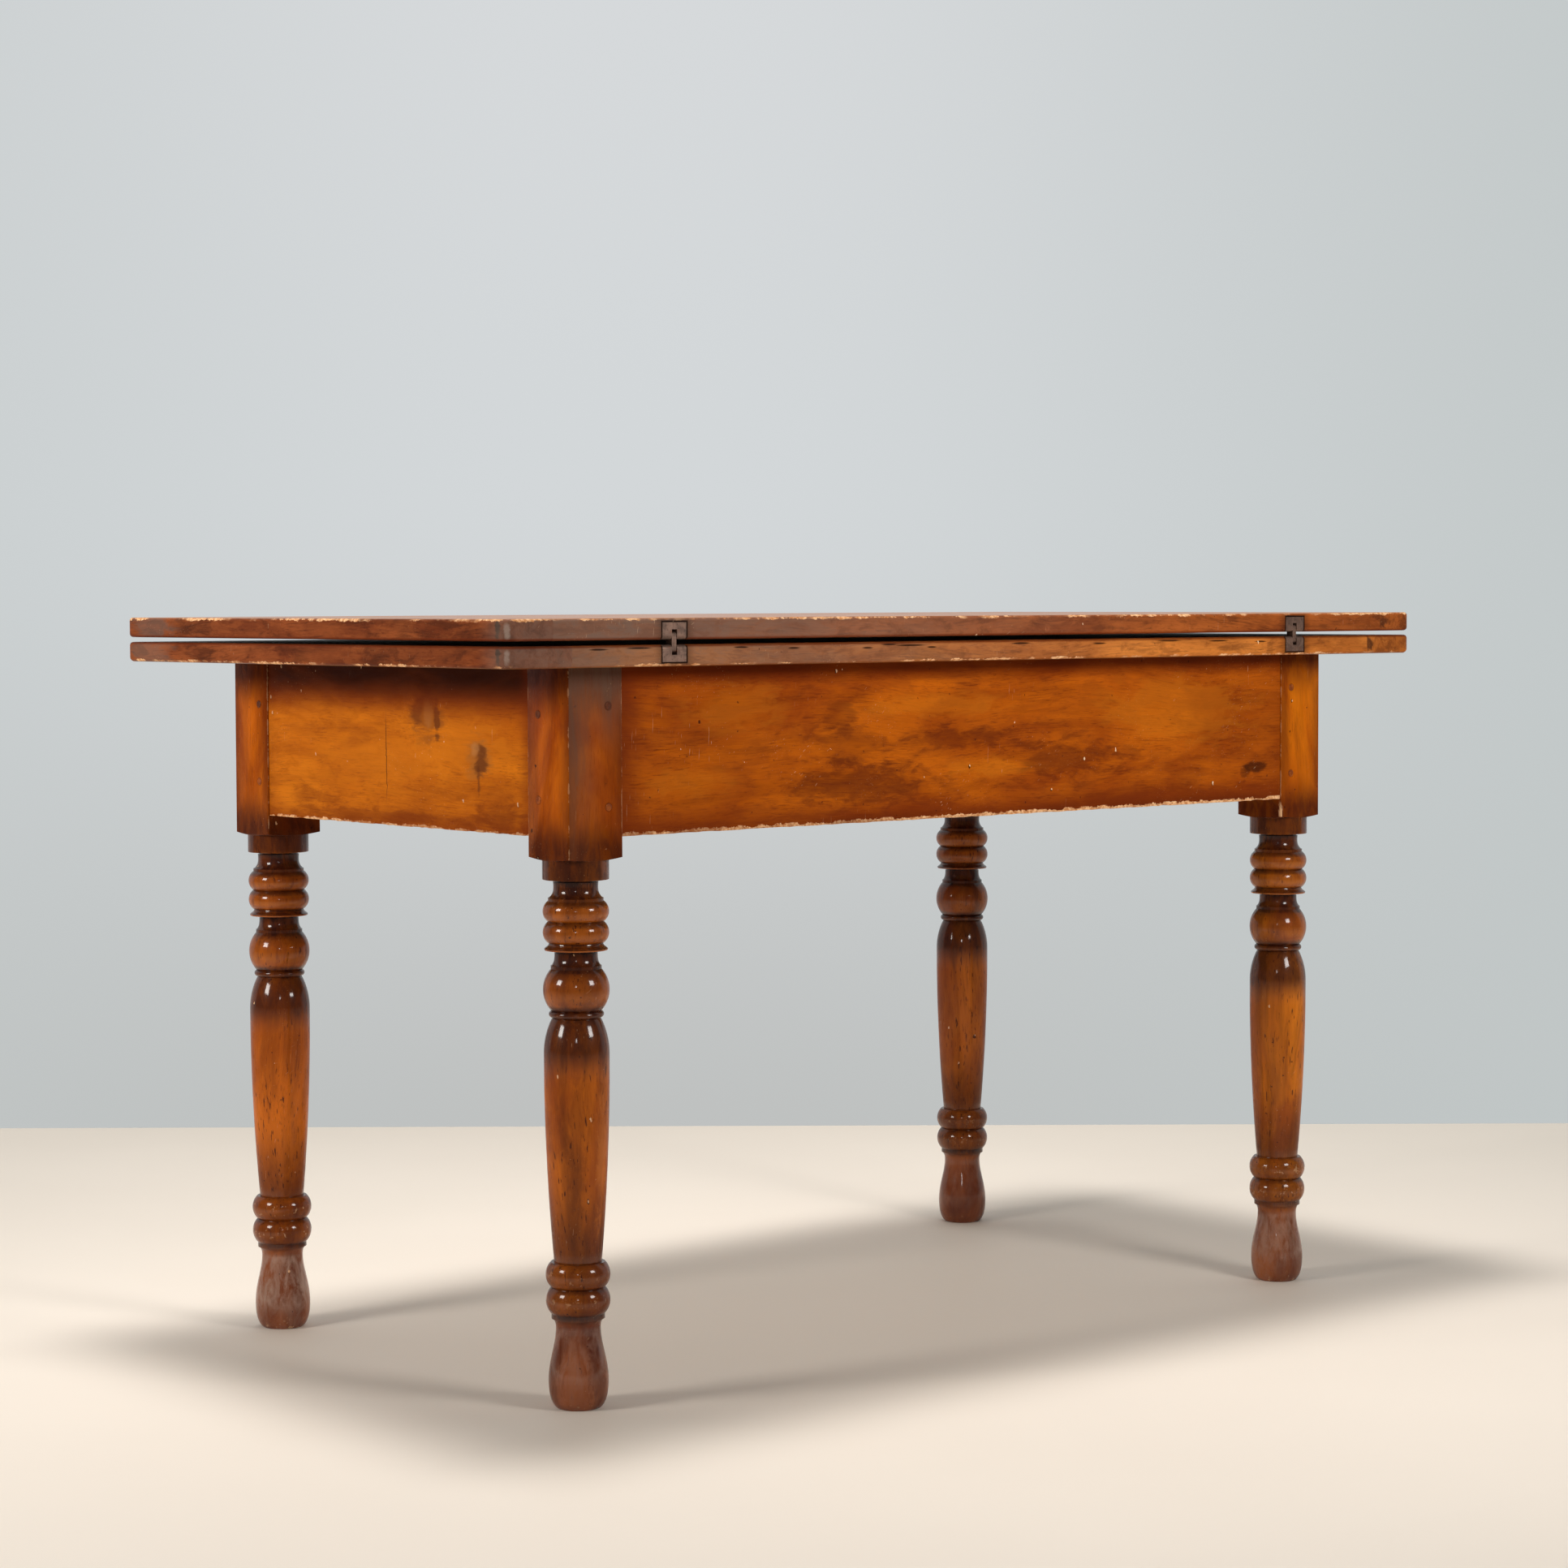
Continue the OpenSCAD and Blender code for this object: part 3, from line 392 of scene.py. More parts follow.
bpy.ops.mesh.primitive_circle_add(
    vertices=leg_sides, radius=collar_radius, fill_type="NGON", location=(0, 0, turning[0][1]))
lathe_work = bpy.context.object
bpy.ops.object.transform_apply()
set_mode("EDIT")
bpy.ops.mesh.select_mode(type="FACE")
bpy.ops.mesh.select_all(action="SELECT")
for (radius, height), (next_radius, next_height) in zip(turning, turning[1:]):
    growth = next_radius / radius
    extrude((0, 0, next_height - height), (growth, growth, 1), (0, 0, next_height))
turn_outward()

leg_model = block_piece(
    "leg_model", (-half_block, -half_block, collar_top - 0.001), (half_block, half_block, frame_top))
for outermost, easing, rounds in ((False, 0.0009, 2), (True, 0.0022, 4)):
    pick("EDGE", lambda edge: runs_along(edge, 2) and (sum(middle_of(edge).xy) < -0.06) == outermost)
    bpy.ops.mesh.bevel(offset=easing, segments=rounds)
set_mode("OBJECT")
bpy.ops.mesh.primitive_cylinder_add(
    vertices=leg_sides, radius=shoulder_radius, depth=0.25, location=(0, 0, shoulder_top + 0.125))
shoulder_tool = bpy.context.object
bpy.ops.object.transform_apply()
set_mode("EDIT")
pick("FACE", lambda face: face.normal.z < -0.9)
growth = collar_radius / shoulder_radius
extrude((0, 0, collar_top - shoulder_top), (growth, growth, 1), (0, 0, collar_top))
set_mode("OBJECT")
carve(leg_model, shoulder_tool, "INTERSECT")
for order in ((0, 1, 2), (1, 0, 2)):
    tool = block_piece("mortise_tool", [mortise_low[i] for i in order], [mortise_high[i] for i in order])
    set_mode("OBJECT")
    carve(leg_model, tool, "DIFFERENCE")
carve(leg_model, lathe_work, "UNION")
set_mode("EDIT")
bpy.ops.mesh.select_all(action="SELECT")
bpy.ops.mesh.remove_doubles(threshold=merge_distance)
turn_outward()
bpy.ops.object.shade_smooth_by_angle(angle=math.radians(32))


def vector_math(operation, *vectors):
    """One operation on places or directions."""
    return add_node("VectorMath", dict(enumerate(vectors)), operation=operation).outputs[0]


def length_of(vector):
    return add_node("VectorMath", {0: vector}, operation="LENGTH").outputs[1]


def magnitude(value):
    """A value without its sign."""
    return add_node("Math", {0: value}, operation="ABSOLUTE").outputs[0]


def span(across, along):
    """The distance that two sides at right angles give."""
    return length_of(add_node("CombineXYZ", {0: across, 1: along}).outputs[0])


def scaled(vector, factors):
    """The same place, stretched along each axis."""
    return vector_math("MULTIPLY", vector, factors)


def turned_place(vector, rotation, shift=(0, 0, 0)):
    """The same place, turned and then shifted."""
    return add_node("Mapping", {"Vector": vector, "Rotation": rotation, "Location": shift}).outputs[0]


def jostled(vector, scale, reach):
    """The same place, moved about a little at random."""
    drift = add_node("TexNoise", {"Vector": vector, "Scale": scale, "Detail": 2}).outputs[1]
    return vector_math("MULTIPLY_ADD", drift, reach, vector)


def between(share, low, high):
    """Eases a share from 0 to 1 into the range low to high."""
    return remap(share, 0, 1, low, high)


def band(height, rise, fall):
    """1 between two heights, eased in over the first pair and out over the second."""
    return product(remap(height, *rise), remap(height, *fall))


def weighted_sum(*terms):
    """Adds values up, each times its own weight."""
    return combine("ADD", *(product(*term) for term in terms))


def add_bump(strength, distance, height):
    return add_node("Bump", {"Strength": strength, "Distance": distance, "Height": height}).outputs[0]


def new_group(name, inlets):
    """A node group and its inlets; an inlet without a value is a place."""
    group = bpy.data.node_groups.new(name, "ShaderNodeTree")
    for label, value in inlets.items():
        kind = "NodeSocketVector" if value is None else "NodeSocketFloat"
        socket = group.interface.new_socket(label, in_out="INPUT", socket_type=kind)
        if value is not None:
            socket.default_value = value
    return group, group.nodes.new("NodeGroupInput").outputs


def end_group(group, values):
    """Leads named values out of a node group."""
    for label in values:
        group.interface.new_socket(label, in_out="OUTPUT", socket_type="NodeSocketFloat")
    last = group.nodes.new("NodeGroupOutput")
    for label, value in values.items():
        group.links.new(value, last.inputs[label])


# Wood grain that runs along X of the place it is given: broad streaks, fine fibres and pores
wood_grain, entry = new_group("wood_grain", {"Place": None, "Streak width": 0.02})
sway = jostled(entry["Place"], 3, (0, 0.05, 0.05))


def drawn_out(stretch, detail, roughness, scale=1):
    """A random pattern drawn out along the grain."""
    return pattern(scaled(sway, stretch), scale, detail, roughness)


closeness = combine("DIVIDE", 1, entry["Streak width"])
line_patch = remap(drawn_out((9, 32, 32), 3, 0.6), 0.38, 0.62, 0.25, 1)
end_group(wood_grain, {
    "Streaks": drawn_out((0.06, 1, 1), 5, 0.6, closeness),
    "Fibres": drawn_out((14, 520, 520), 3, 0.6),
    "Pores": remap(drawn_out((55, 1100, 1100), 2, 0.5), 0.6, 0.7),
    "Flecks": remap(drawn_out((62, 430, 430), 2, 0.5), 0.62, 0.69),
    "Lines": product(remap(drawn_out((26, 640, 640), 4, 0.7), 0.5, 0.66), line_patch),
})

# Old shellac: broad clouds where it has darkened, smoky ones and finer mottling
shellac_clouds, entry = new_group("shellac_clouds", {"Place": None})
broad = pattern(entry["Place"], 10, 4, 0.55, 0.8)
fine = pattern(entry["Place"], 60, 6, 0.65, 0.5)
smoke = scaled(entry["Place"], (0.7, 1.3, 1.3))
smoke = pattern(smoke, 21, 5, 0.6, 1.4)
end_group(shellac_clouds, {
    "Broad": remap(broad, 0.34, 0.66),
    "Fine": remap(fine, 0.32, 0.68),
    "Smoke": remap(smoke, 0.46, 0.7),
})

# Knocks and scratches from years of use
use_marks, entry = new_group("use_marks", {"Place": None})
ragged = jostled(entry["Place"], 240, (0.004, 0.004, 0.004))
marks = {}
for label, density, share, reach, stretch, nudge in (
    ("Nicks", 120, 0.95, 0.17, (1, 1, 0.6), (0, 0, 0)),
    ("Bruises", 120, 0.95, 0.19, (1, 1, 0.6), (0.0009, 0.0009, 0.0006)),
    ("Pits", 105, 0.7, 0.13, (1, 1, 1), (0, 0, 0)),
):
    spot = scaled(vector_math("ADD", ragged, nudge), stretch)
    cell = add_node("TexVoronoi", {"Vector": spot, "Scale": density}).outputs
    chance = add_node("SeparateColor", {0: cell["Color"]}).outputs[0]
    size = product(remap(chance, share, 1), reach)
    marks[label] = remap(combine("SUBTRACT", size, cell["Distance"]), 0, 0.02)
lines = []
for angle in (0.5, -0.9, 1.35):
    turned = turned_place(entry["Place"], (angle, angle, angle))
    thread = pattern(scaled(turned, (50, 900, 900)), 1, 1, 0.5, 0.6)
    patch = pattern(turned, 11, 1, 0.5)
    lines.append(product(remap(thread, 0.72, 0.78), remap(patch, 0.56, 0.66)))
end_group(use_marks, {**marks, "Scratches": greatest(*lines)})

# Wear along the arrises of a squared piece: 1 at an edge of its box, 0 a given width away
worn_arris, entry = new_group("worn_arris", {"Place": None, "Low": None, "High": None, "Width": 0.004})
from_low = vector_math("SUBTRACT", entry["Place"], entry["Low"])
from_high = vector_math("SUBTRACT", entry["High"], entry["Place"])
gap_x, gap_y, gap_z = axes_of(vector_math("MINIMUM", from_low, from_high))
lesser = combine("MINIMUM", gap_x, gap_y)
greater = greatest(gap_x, gap_y)
second = greatest(lesser, combine("MINIMUM", greater, gap_z))
end_group(worn_arris, {"Wear": remap(second, entry["Width"], 0)})


def use_group(group, inlets):
    """Places a node group and returns its outlets."""
    return add_node("Group", inlets, node_tree=group).outputs


def oval_spot(place, centre, reach, blur):
    """A soft oval patch, 1 in its middle."""
    share = scaled(vector_math("SUBTRACT", place, centre), tuple(1 / r for r in reach))
    return remap(combine("ADD", length_of(share), blur), 1.45, 0.75)


def spot_coats(place, spots, blur):
    """Coats for oval patches, each given by its centre, reach, strength and colour."""
    return [(stain, oval_spot(place, centre, reach, blur), strength)
            for centre, reach, strength, stain in spots]


def ragged_wear(place, low, high, width, bare):
    """Where the arrises of a box are chipped to bare wood, from their width and the share laid bare."""
    wear = use_group(worn_arris, {"Place": place, "Low": low, "High": high, "Width": width})["Wear"]
    broken = remap(pattern(place, 52, 6, 0.72), 0.38, 0.64, 0, 0.85)
    splintered = product(pattern(place, 480, 3, 0.6), 0.5)
    total = combine("ADD", wear, broken, splintered)
    chipped = remap(total, 1.44 - 0.3 * bare, 1.54 - 0.3 * bare)
    return product(chipped, remap(wear, 0.03, 0.25))


def leg_finish(name, side_x, side_y, turned, squared, rub, chipped, block_sheen, scars, stains_and_painted_light):
    """Polished shellac on a turned leg, with painted shade in its grooves and on its block, and rubbed on its
    crowns.
    """
    material, place = new_material(name)
    _, north, rise = axes_of(place.node.outputs["Normal"])
    centred = vector_math("SUBTRACT", place, (side_x * leg_x, side_y * leg_y, 0))
    own_grain = (side_x * 1.7, side_y * 2.3, side_x * side_y)
    upright = turned_place(centred, (0, math.pi / 2, 0), own_grain)
    across, along, height = axes_of(centred)
    radius = span(across, along)
    grain = use_group(wood_grain, {"Place": upright, "Streak width": 0.016})
    clouds = use_group(shellac_clouds, {"Place": scaled(upright, (0.6, 1.5, 1.5))})
    marks = use_group(use_marks, {"Place": place})
    fine = clouds["Fine"]
    blur = product(fine, 0.7)

    # The square block above the shoulder is stained apart from the turned part below it
    above = remap(height, shoulder_top - 0.004, shoulder_top)
    below = combine("SUBTRACT", 1, above)
    light, middle, dark = [blend(above, *pair) for pair in zip(turned, squared)]
    flecked = product(grain["Flecks"], remap(clouds["Broad"], 0.1, 0.8, 0.25, 0.85))

    # Painted shade: darker in the hollows, on the upward ledges, towards the block's corners and over the
    # ankle and rings, and in bands at the block's top under the leaves, at the shoulder and collar, at the
    # top of the ball, on the shaft under the ball and along the lower shaft
    beads = band(height, (0.535, 0.529), (0.352, 0.398))
    rings = band(height, (0.08, 0.094), (0.152, 0.14))
    moulded = greatest(beads, rings)
    near_axis = combine("MINIMUM", magnitude(across), magnitude(along))
    corner = product(remap(near_axis, 0.01, 0.034, 0, 0.55), above)
    hollow = remap(radius, 0.0326, 0.0264, 0, 0.94)
    ledge = remap(rise, 0.05, 0.7, 0, 0.86)
    shade = greatest(corner, product(greatest(hollow, ledge), moulded),
                     product(moulded, 0.36), product(rings, 0.58))
    for rising, falling, strength in (
        ((0.33, 0.362), (0.402, 0.392), 0.82),
        ((0.24, 0.152), (0.138, 0.147), 0.66),
        ((0.414, 0.436), (0.445, 0.441), 0.55),
        ((0.526, 0.531), (0.556, 0.549), 0.86),
        ((0.545, 0.551), (0.606, 0.56), 0.88),
        ((0.68, 0.738), (2, 1.9), 0.88),
    ):
        shade = greatest(shade, product(band(height, rising, falling), strength))

    # The foot is scuffed, with dust and a painted grey sheen on its upward faces; the crowns of the mouldings
    # are rubbed bright
    foot = remap(height, 0.093, 0.08)
    foot_tone = blend(clouds["Broad"], tone(80, 34, 20), tone(136, 74, 46))
    facing_up = remap(rise, -0.15, 0.15, 0.25, 1)
    crown = product(remap(radius, 0.0305, 0.033), moulded)
    rubbed = product(crown, remap(rise, 0.2, -0.35), between(rings, 1, 0.45),
                     remap(clouds["Smoke"], 0.6, 0, 0.15, 1))
    rim = remap(height, 0.016, 0.002, 0, 0.9)
    speckle = remap(pattern(place, 150, 5, 0.7), 0.58, 0.64)
    speckle = product(greatest(product(crown, rings), rim), speckle)

    # A painted grey sheen on the block's front, strongest at the top and at the outer corner
    painted_sheen = product(
        remap(north, -0.7, -0.95), above,
        greatest(remap(height, 0.64, 0.735), remap(across, 0.016, -0.036)),
        remap(height, 0.56, 0.64, 0.35, 1), remap(grain["Streaks"], 0.3, 0.7, 0.55, 1.15),
        remap(grain["Lines"], 0, 0.8, 1, 0.45))

    # A dark ring around each of the four pegs in the block
    peg_rings = []
    for axis, side, drops in ((along, side_y, end_peg_drops), (across, side_x, long_peg_drops)):
        for drop in drops:
            from_peg = combine("ADD", axis, peg_inset * side)
            away = span(from_peg, combine("SUBTRACT", height, frame_top - drop))
            peg_rings.append((tone(36, 14, 8), remap(away, 0.005, 0.0042, 0, 0.4)))

    low = (side_x * leg_x - half_block, side_y * leg_y - half_block, -unworn)
    high = (side_x * leg_x + half_block, side_y * leg_y + half_block, unworn)
    worn = product(ragged_wear(place, low, high, 0.0024, 0.2), above, 0.26)
    worn = greatest(worn, *(oval_spot(place, centre, reach, blur) for centre, reach in scars))
    chips = greatest(marks["Nicks"], product(marks["Scratches"], 0.35), worn)
    colour = layer(
        middle,
        (light, clouds["Broad"]),
        (dark, remap(grain["Streaks"], 0.42, 0.7), between(below, 0.2, 0.34)),
        (dark, clouds["Smoke"], between(below, 0.12, 0.3)),
        (dark, grain["Lines"], 0.35),
        (dark, flecked, between(below, 0.15, 1)),
        (dark, shade, between(fine, 0.88, 1.06)),
        (foot_tone, foot, 0.8),
        # dust and a painted grey sheen on the foot's upward faces
        (tone(172, 140, 122), foot, facing_up, fine, 0.85 * chipped * chipped),
        # spots of stain, painted shade and painted light
        *spot_coats(place, stains_and_painted_light, blur),
        (tone(176, 98, 24), rubbed, rub),
        (tone(190, 146, 106), speckle, chipped),
        (tone(34, 12, 7), marks["Pits"], 0.75),
        # the painted grey sheen on the block's front
        (tone(98, 70, 56), painted_sheen, block_sheen),
        *peg_rings,
        (tone(26, 10, 6), marks["Bruises"], 0.8),
        (tone(216, 170, 128), chips),
    )
    relief = weighted_sum((grain["Fibres"], 0.12), (marks["Pits"], -0.8), (marks["Nicks"], -0.6),
                          (fine, 0.35), (flecked, -0.4))
    straight = band(height, (0.15, 0.16), (0.35, 0.32))
    polish = product(between(greatest(speckle, chips), 0.6, 0.1),
                     between(straight, 1, 0.45))
    polish = greatest(polish, product(foot, 0.7))
    end_material({
        "Base Color": colour,
        "Roughness": between(fine, 0.26, 0.44),
        "Specular IOR Level": 0.03,
        "Coat Weight": product(polish, between(below, 0.1, 1)),
        "Coat Roughness": 0.1,
        "Normal": add_bump(0.35, 0.0005, relief),
    })
    return material


def copy_piece(source, name, scale, shift):
    """A copy with its own mesh, mirrored where the scale says so, with its place in the mesh."""
    twin = source.copy()
    twin.data = source.data.copy()
    twin.name = name
    bpy.context.collection.objects.link(twin)
    twin.scale = scale
    twin.location = shift
    hold(twin)
    bpy.ops.object.transform_apply()
    set_mode("EDIT")
    turn_outward()
    return twin


def dress(piece, material):
    """Gives a piece one material and nothing else."""
    piece.data.materials.clear()
    piece.data.materials.append(material)


def shades(*steps):
    """The light, middle and dark colour of one finish."""
    return [tone(*step) for step in steps]


amber_block = shades((214, 115, 14), (178, 84, 9), (72, 25, 8))
brown_block = shades((192, 96, 12), (148, 64, 9), (62, 22, 8))
scars = {"front_right": [((leg_x - half_block, -leg_y - half_block, 0.556), (0.0035, 0.004, 0.013))]}
# Spots on the near leg: painted shade down the middle of the shaft, a darker band across the front of the
# ball, a paler amber strip down the shaft's right that is partly rub and partly painted highlight, a painted
# grey sheen down the front of the foot and painted shade on the foot's two sides.
stains_and_painted_light = {"front_left": [
    ((-0.54, -0.297, 0.25), (0.012, 0.012, 0.11), 0.4, tone(70, 30, 14)),
    ((-0.512, -0.303, 0.25), (0.01, 0.01, 0.08), 0.45, tone(196, 112, 44)),
    ((-0.526, -0.299, 0.42), (0.03, 0.012, 0.022), 0.3, tone(60, 26, 12)),
    ((-0.5403, -0.2888, 0.045), (0.005, 0.005, 0.045), 0.26, tone(150, 110, 90)),
    ((-0.516, -0.301, 0.036), (0.014, 0.012, 0.06), 0.45, tone(70, 30, 18)),
    ((-0.549, -0.268, 0.036), (0.012, 0.014, 0.06), 0.4, tone(70, 30, 18)),
]}
for corner, side_x, side_y, squared, rub, chipped, block_sheen, turned in (
    ("front_left", -1, -1, brown_block, 0.3, 0.55, 0.92, shades((190, 99, 17), (144, 66, 14), (46, 17, 9))),
    ("front_right", 1, -1, amber_block, 0.55, 0.75, 0, shades((208, 116, 24), (168, 82, 18), (54, 21, 10))),
    ("rear_left", -1, 1, brown_block, 0.5, 1, 0, shades((202, 104, 20), (164, 78, 15), (52, 19, 10))),
    # The rear right leg is darker and barely rubbed: painted shade, its upper part lying in shadow.
    ("rear_right", 1, 1, brown_block, 0.1, 0.35, 0, shades((184, 98, 26), (148, 70, 18), (48, 18, 10))),
):
    spot = (side_x * leg_x, side_y * leg_y, 0)
    leg = copy_piece(leg_model, corner + "_turned_leg", (-side_x, -side_y, 1), spot)
    dress(leg, leg_finish(
        corner + "_leg_polish", side_x, side_y, turned, squared, rub, chipped, block_sheen,
        scars.get(corner, ()), stains_and_painted_light.get(corner, ())))
    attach(leg, "frame")
    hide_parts(corner + "_leg")
bpy.data.objects.remove(leg_model)

# Aprons.
# Four wide boards tenoned into the leg blocks, planed and shellacked outside and raw inside.
# Their lower arrises are knocked and chipped down to pale wood, most of all along the front.
apron_low = 0.5727
apron_out = 0.032
apron_thick = 0.022
tenon_long = 0.045
tenon_thick = 0.01
tenon_high = 0.134
tenon_middle = (apron_low + frame_top) / 2 - 0.0025


def flatten_shading(piece):
    """Lets the wide faces set the shading, so that narrow rounded arrises don't bend it."""
    shape_with(piece, "WEIGHTED_NORMAL", {"keep_sharp": True, "weight": 100})


def pick_long_edges(low, high):
    """Selects the long edges of an open board between two heights."""
    pick("EDGE", lambda edge: runs_along(edge, 0) and abs(middle_of(edge).x) < 0.01
         and low < middle_of(edge).z < high)


def apron_board(name, reach, side, turn):
    """A board with its outer face towards -Y, tenoned at both ends, chipped below, then turned."""
    shoulder = reach - half_block
    outer = -side - apron_out
    inner = outer + apron_thick
    board = block_piece(name, (-shoulder, outer, apron_low), (shoulder, inner, frame_top))
    tenon_size = (1, tenon_thick / apron_thick, tenon_high / (frame_top - apron_low))
    for end in (-1, 1):
        pick("FACE", lambda face: face.normal.x * end > 0.9)
        extrude((0, 0, 0), tenon_size, (0, (outer + inner) / 2, tenon_middle))
        extrude((end * tenon_long, 0, 0))
    pick_long_edges(frame_top - 0.001, frame_top + 0.001)
    bpy.ops.mesh.bevel(offset=0.0008, segments=2)
    pick_long_edges(0, apron_low + 0.001)
    bpy.ops.mesh.bevel(offset=0.0012, segments=2)
    pick_long_edges(0, apron_low + 0.002)
    bpy.ops.mesh.subdivide(number_cuts=round(2 * shoulder / 0.0025), ngon=True)
    for reach_in, level, depth in ((0.0016, 0.05, 0.0005), (0.0016, 0.3, 0.0009), (0.0028, 0.48, 0.0012)):
        def chips_off(vert):
            at_arris = vert.co.y < outer + reach_in and vert.co.z < apron_low + reach_in
            place = vert.co * 70 + Vector((side * 40, reach_in * 900, 0))
            return at_arris and abs(vert.co.x) < shoulder - 0.004 and noise.noise(place) > level

        pick("VERT", chips_off)
        bpy.ops.transform.translate(value=(0, depth, depth * 0.8))
    set_mode("OBJECT")
    board.rotation_euler.z = turn
    bpy.ops.object.transform_apply()
    set_mode("EDIT")
    turn_outward()
    bpy.ops.object.shade_smooth_by_angle(angle=math.radians(40))
    flatten_shading(board)
    return board


def board_finish(name, grain, seed, low, high, tones, bare, bare_width, bare_spread=None, painted_sheen=None,
                 raw_side=None, patches=(), cracks=(), soiled=(), inlay=None, worn_and_sheen_top=None,
                 gloss=(0.34, 0.52), mottle=0.2, knocked=1, face_tint=None):
    """Old shellac on a board: clouded, rubbed and scratched, and worn pale along its arrises."""
    light, middle, dark = tones
    material, place = new_material(name)
    steps = axes_of(place)
    facing_up = axes_of(place.node.outputs["Normal"])[2]
    edgewise = remap(magnitude(facing_up), 0.95, 0.7)
    grain_turn = (0, 0, math.pi / 2 if grain == "y" else 0)
    run = turned_place(place, grain_turn, (seed * 0.37, seed * 0.53, seed * 0.71))
    clouds = use_group(shellac_clouds, {"Place": scaled(run, (0.45, 1.3, 1.3))})
    veins = use_group(wood_grain, {"Place": run, "Streak width": 0.018})
    marks = use_group(use_marks, {"Place": vector_math("ADD", place, (seed, seed, seed))})
    fine = clouds["Fine"]
    mottling = between(edgewise, mottle / 3, mottle)
    colour = layer(
        middle,
        (light, clouds["Broad"], between(edgewise, 0.4, 1)),
        (dark, remap(veins["Streaks"], 0.44, 0.74, 0, 0.34)),
        (dark, clouds["Smoke"], between(edgewise, 0.1, 0.3)),
        (dark, remap(fine, 0.5, 0, 0, mottling)),
        (light, remap(fine, 0.6, 1, 0, mottling)),
    )
    if face_tint:
        colour = blend(remap(edgewise, 1, 0), colour, face_tint, "MULTIPLY")
    colour = layer(
        colour,
        (dark, remap(veins["Fibres"], 0.45, 0.75, 0, 0.18)),
        (dark, veins["Lines"], 0.52),
        (dark, veins["Flecks"], 0.3),
        (dark, veins["Pores"], 0.25),
        *spot_coats(place, patches, product(fine, 0.7)),
    )
    # A painted grey sheen on the upright faces, strongest towards one end of the board.
    if painted_sheen:
        axis, start, end, sheen_tone, strength = painted_sheen
        share = remap(steps[axis], start, end)
        colour = layer(colour, (sheen_tone, share, strength, between(fine, 0.75, 1.15), edgewise))
    # Bands darker towards given sides: painted shade with some grime under the leaves, at the apron ends
    # against the leg blocks and along the gap between the two leaves, and darker towards the aprons' lower
    # edges.
    for axis, start, end, strength in soiled:
        uneven = between(clouds["Broad"], 1.05, 0.92)
        share = product(remap(steps[axis], start, end), strength, edgewise, uneven)
        colour = layer(
            colour,
            (tone(112, 42, 9), remap(share, 0, 0.7, 0, 0.85)),
            (tone(32, 11, 6), remap(share, 0.45, 1.05)),
        )
    if inlay:
        centre_x, half_width, low_z, high_z = inlay
        from_centre = magnitude(combine("SUBTRACT", magnitude(steps[0]), centre_x))
        away = greatest(combine("SUBTRACT", from_centre, half_width),
                        combine("SUBTRACT", low_z, steps[2]), combine("SUBTRACT", steps[2], high_z))
        colour = layer(
            colour,
            (tone(52, 26, 15), remap(away, 0.014, 0, 0, 0.45), edgewise),
            (tone(18, 9, 6), remap(away, 0.0026, 0.001, 0, 0.95), edgewise),
        )
    splits = []
    if cracks:
        wander = pattern(place, 30, 2)
        path = vector_math("MULTIPLY_ADD", wander, (0.0028, 0.0028, 0), place)
        splits = [greatest(*(oval_spot(path, centre, reach, 0.21) for centre, reach in cracks))]
    patchy = remap(pattern(place, 17, 3), 0.42, 0.56)
    if bare_spread:
        axis, start, end, least = bare_spread
        spread = remap(steps[axis], start, end, least)
        patchy = greatest(spread, product(patchy, least * 2))
    worn = product(ragged_wear(place, low, high, bare_width, bare), patchy)
    fresh = remap(pattern(place, 260, 4, 0.65), 0.38, 0.62)
    chips = greatest(product(marks["Nicks"], knocked), product(marks["Scratches"], 0.32))
    colour = layer(
        colour,
        *((tone(26, 10, 5), split, 0.9) for split in splits),
        (blend(fresh, tone(196, 130, 80), tone(242, 194, 146)), worn),
        (tone(26, 10, 6), marks["Bruises"], 0.8 * knocked),
        (tone(238, 200, 160), chips),
        (tone(36, 14, 8), marks["Pits"], 0.6),
    )
    relief = weighted_sum((veins["Fibres"], 0.16), (marks["Pits"], -0.7), (fine, 0.5),
                          (greatest(marks["Nicks"], worn), -0.8), *((split, -1) for split in splits))
    rough = weighted_sum((between(fine, gloss[1], gloss[0]),), (greatest(worn, chips), 0.25))
    # The upper leaf's top face, worn paler and partly a painted sheen.
    if worn_and_sheen_top:
        start, end, worn_and_sheen_tone = worn_and_sheen_top
        colour = layer(colour, (
            worn_and_sheen_tone, remap(steps[2], start, end), between(veins["Lines"], 1, 0.72),
            remap(veins["Streaks"], 0.68, 0.34, 0.45, 0.85)))
    if raw_side:
        axis, start, end = raw_side
        back = remap(steps[axis], start, end)
        raw = layer(
            tone(176, 138, 92),
            (tone(140, 102, 62), remap(veins["Streaks"], 0.35, 0.65)),
            (tone(158, 120, 78), fine),
        )
        colour = layer(colour, (raw, back))
        rough = greatest(rough, product(back, 0.82))
    end_material({
        "Base Color": colour,
        "Roughness": rough,
        "Specular IOR Level": 0.03,
        "Coat Weight": between(edgewise, 0.45, 0),
        "Coat Roughness": 0.24,
        "Normal": add_bump(0.4, 0.0006, relief),
    })
    return material


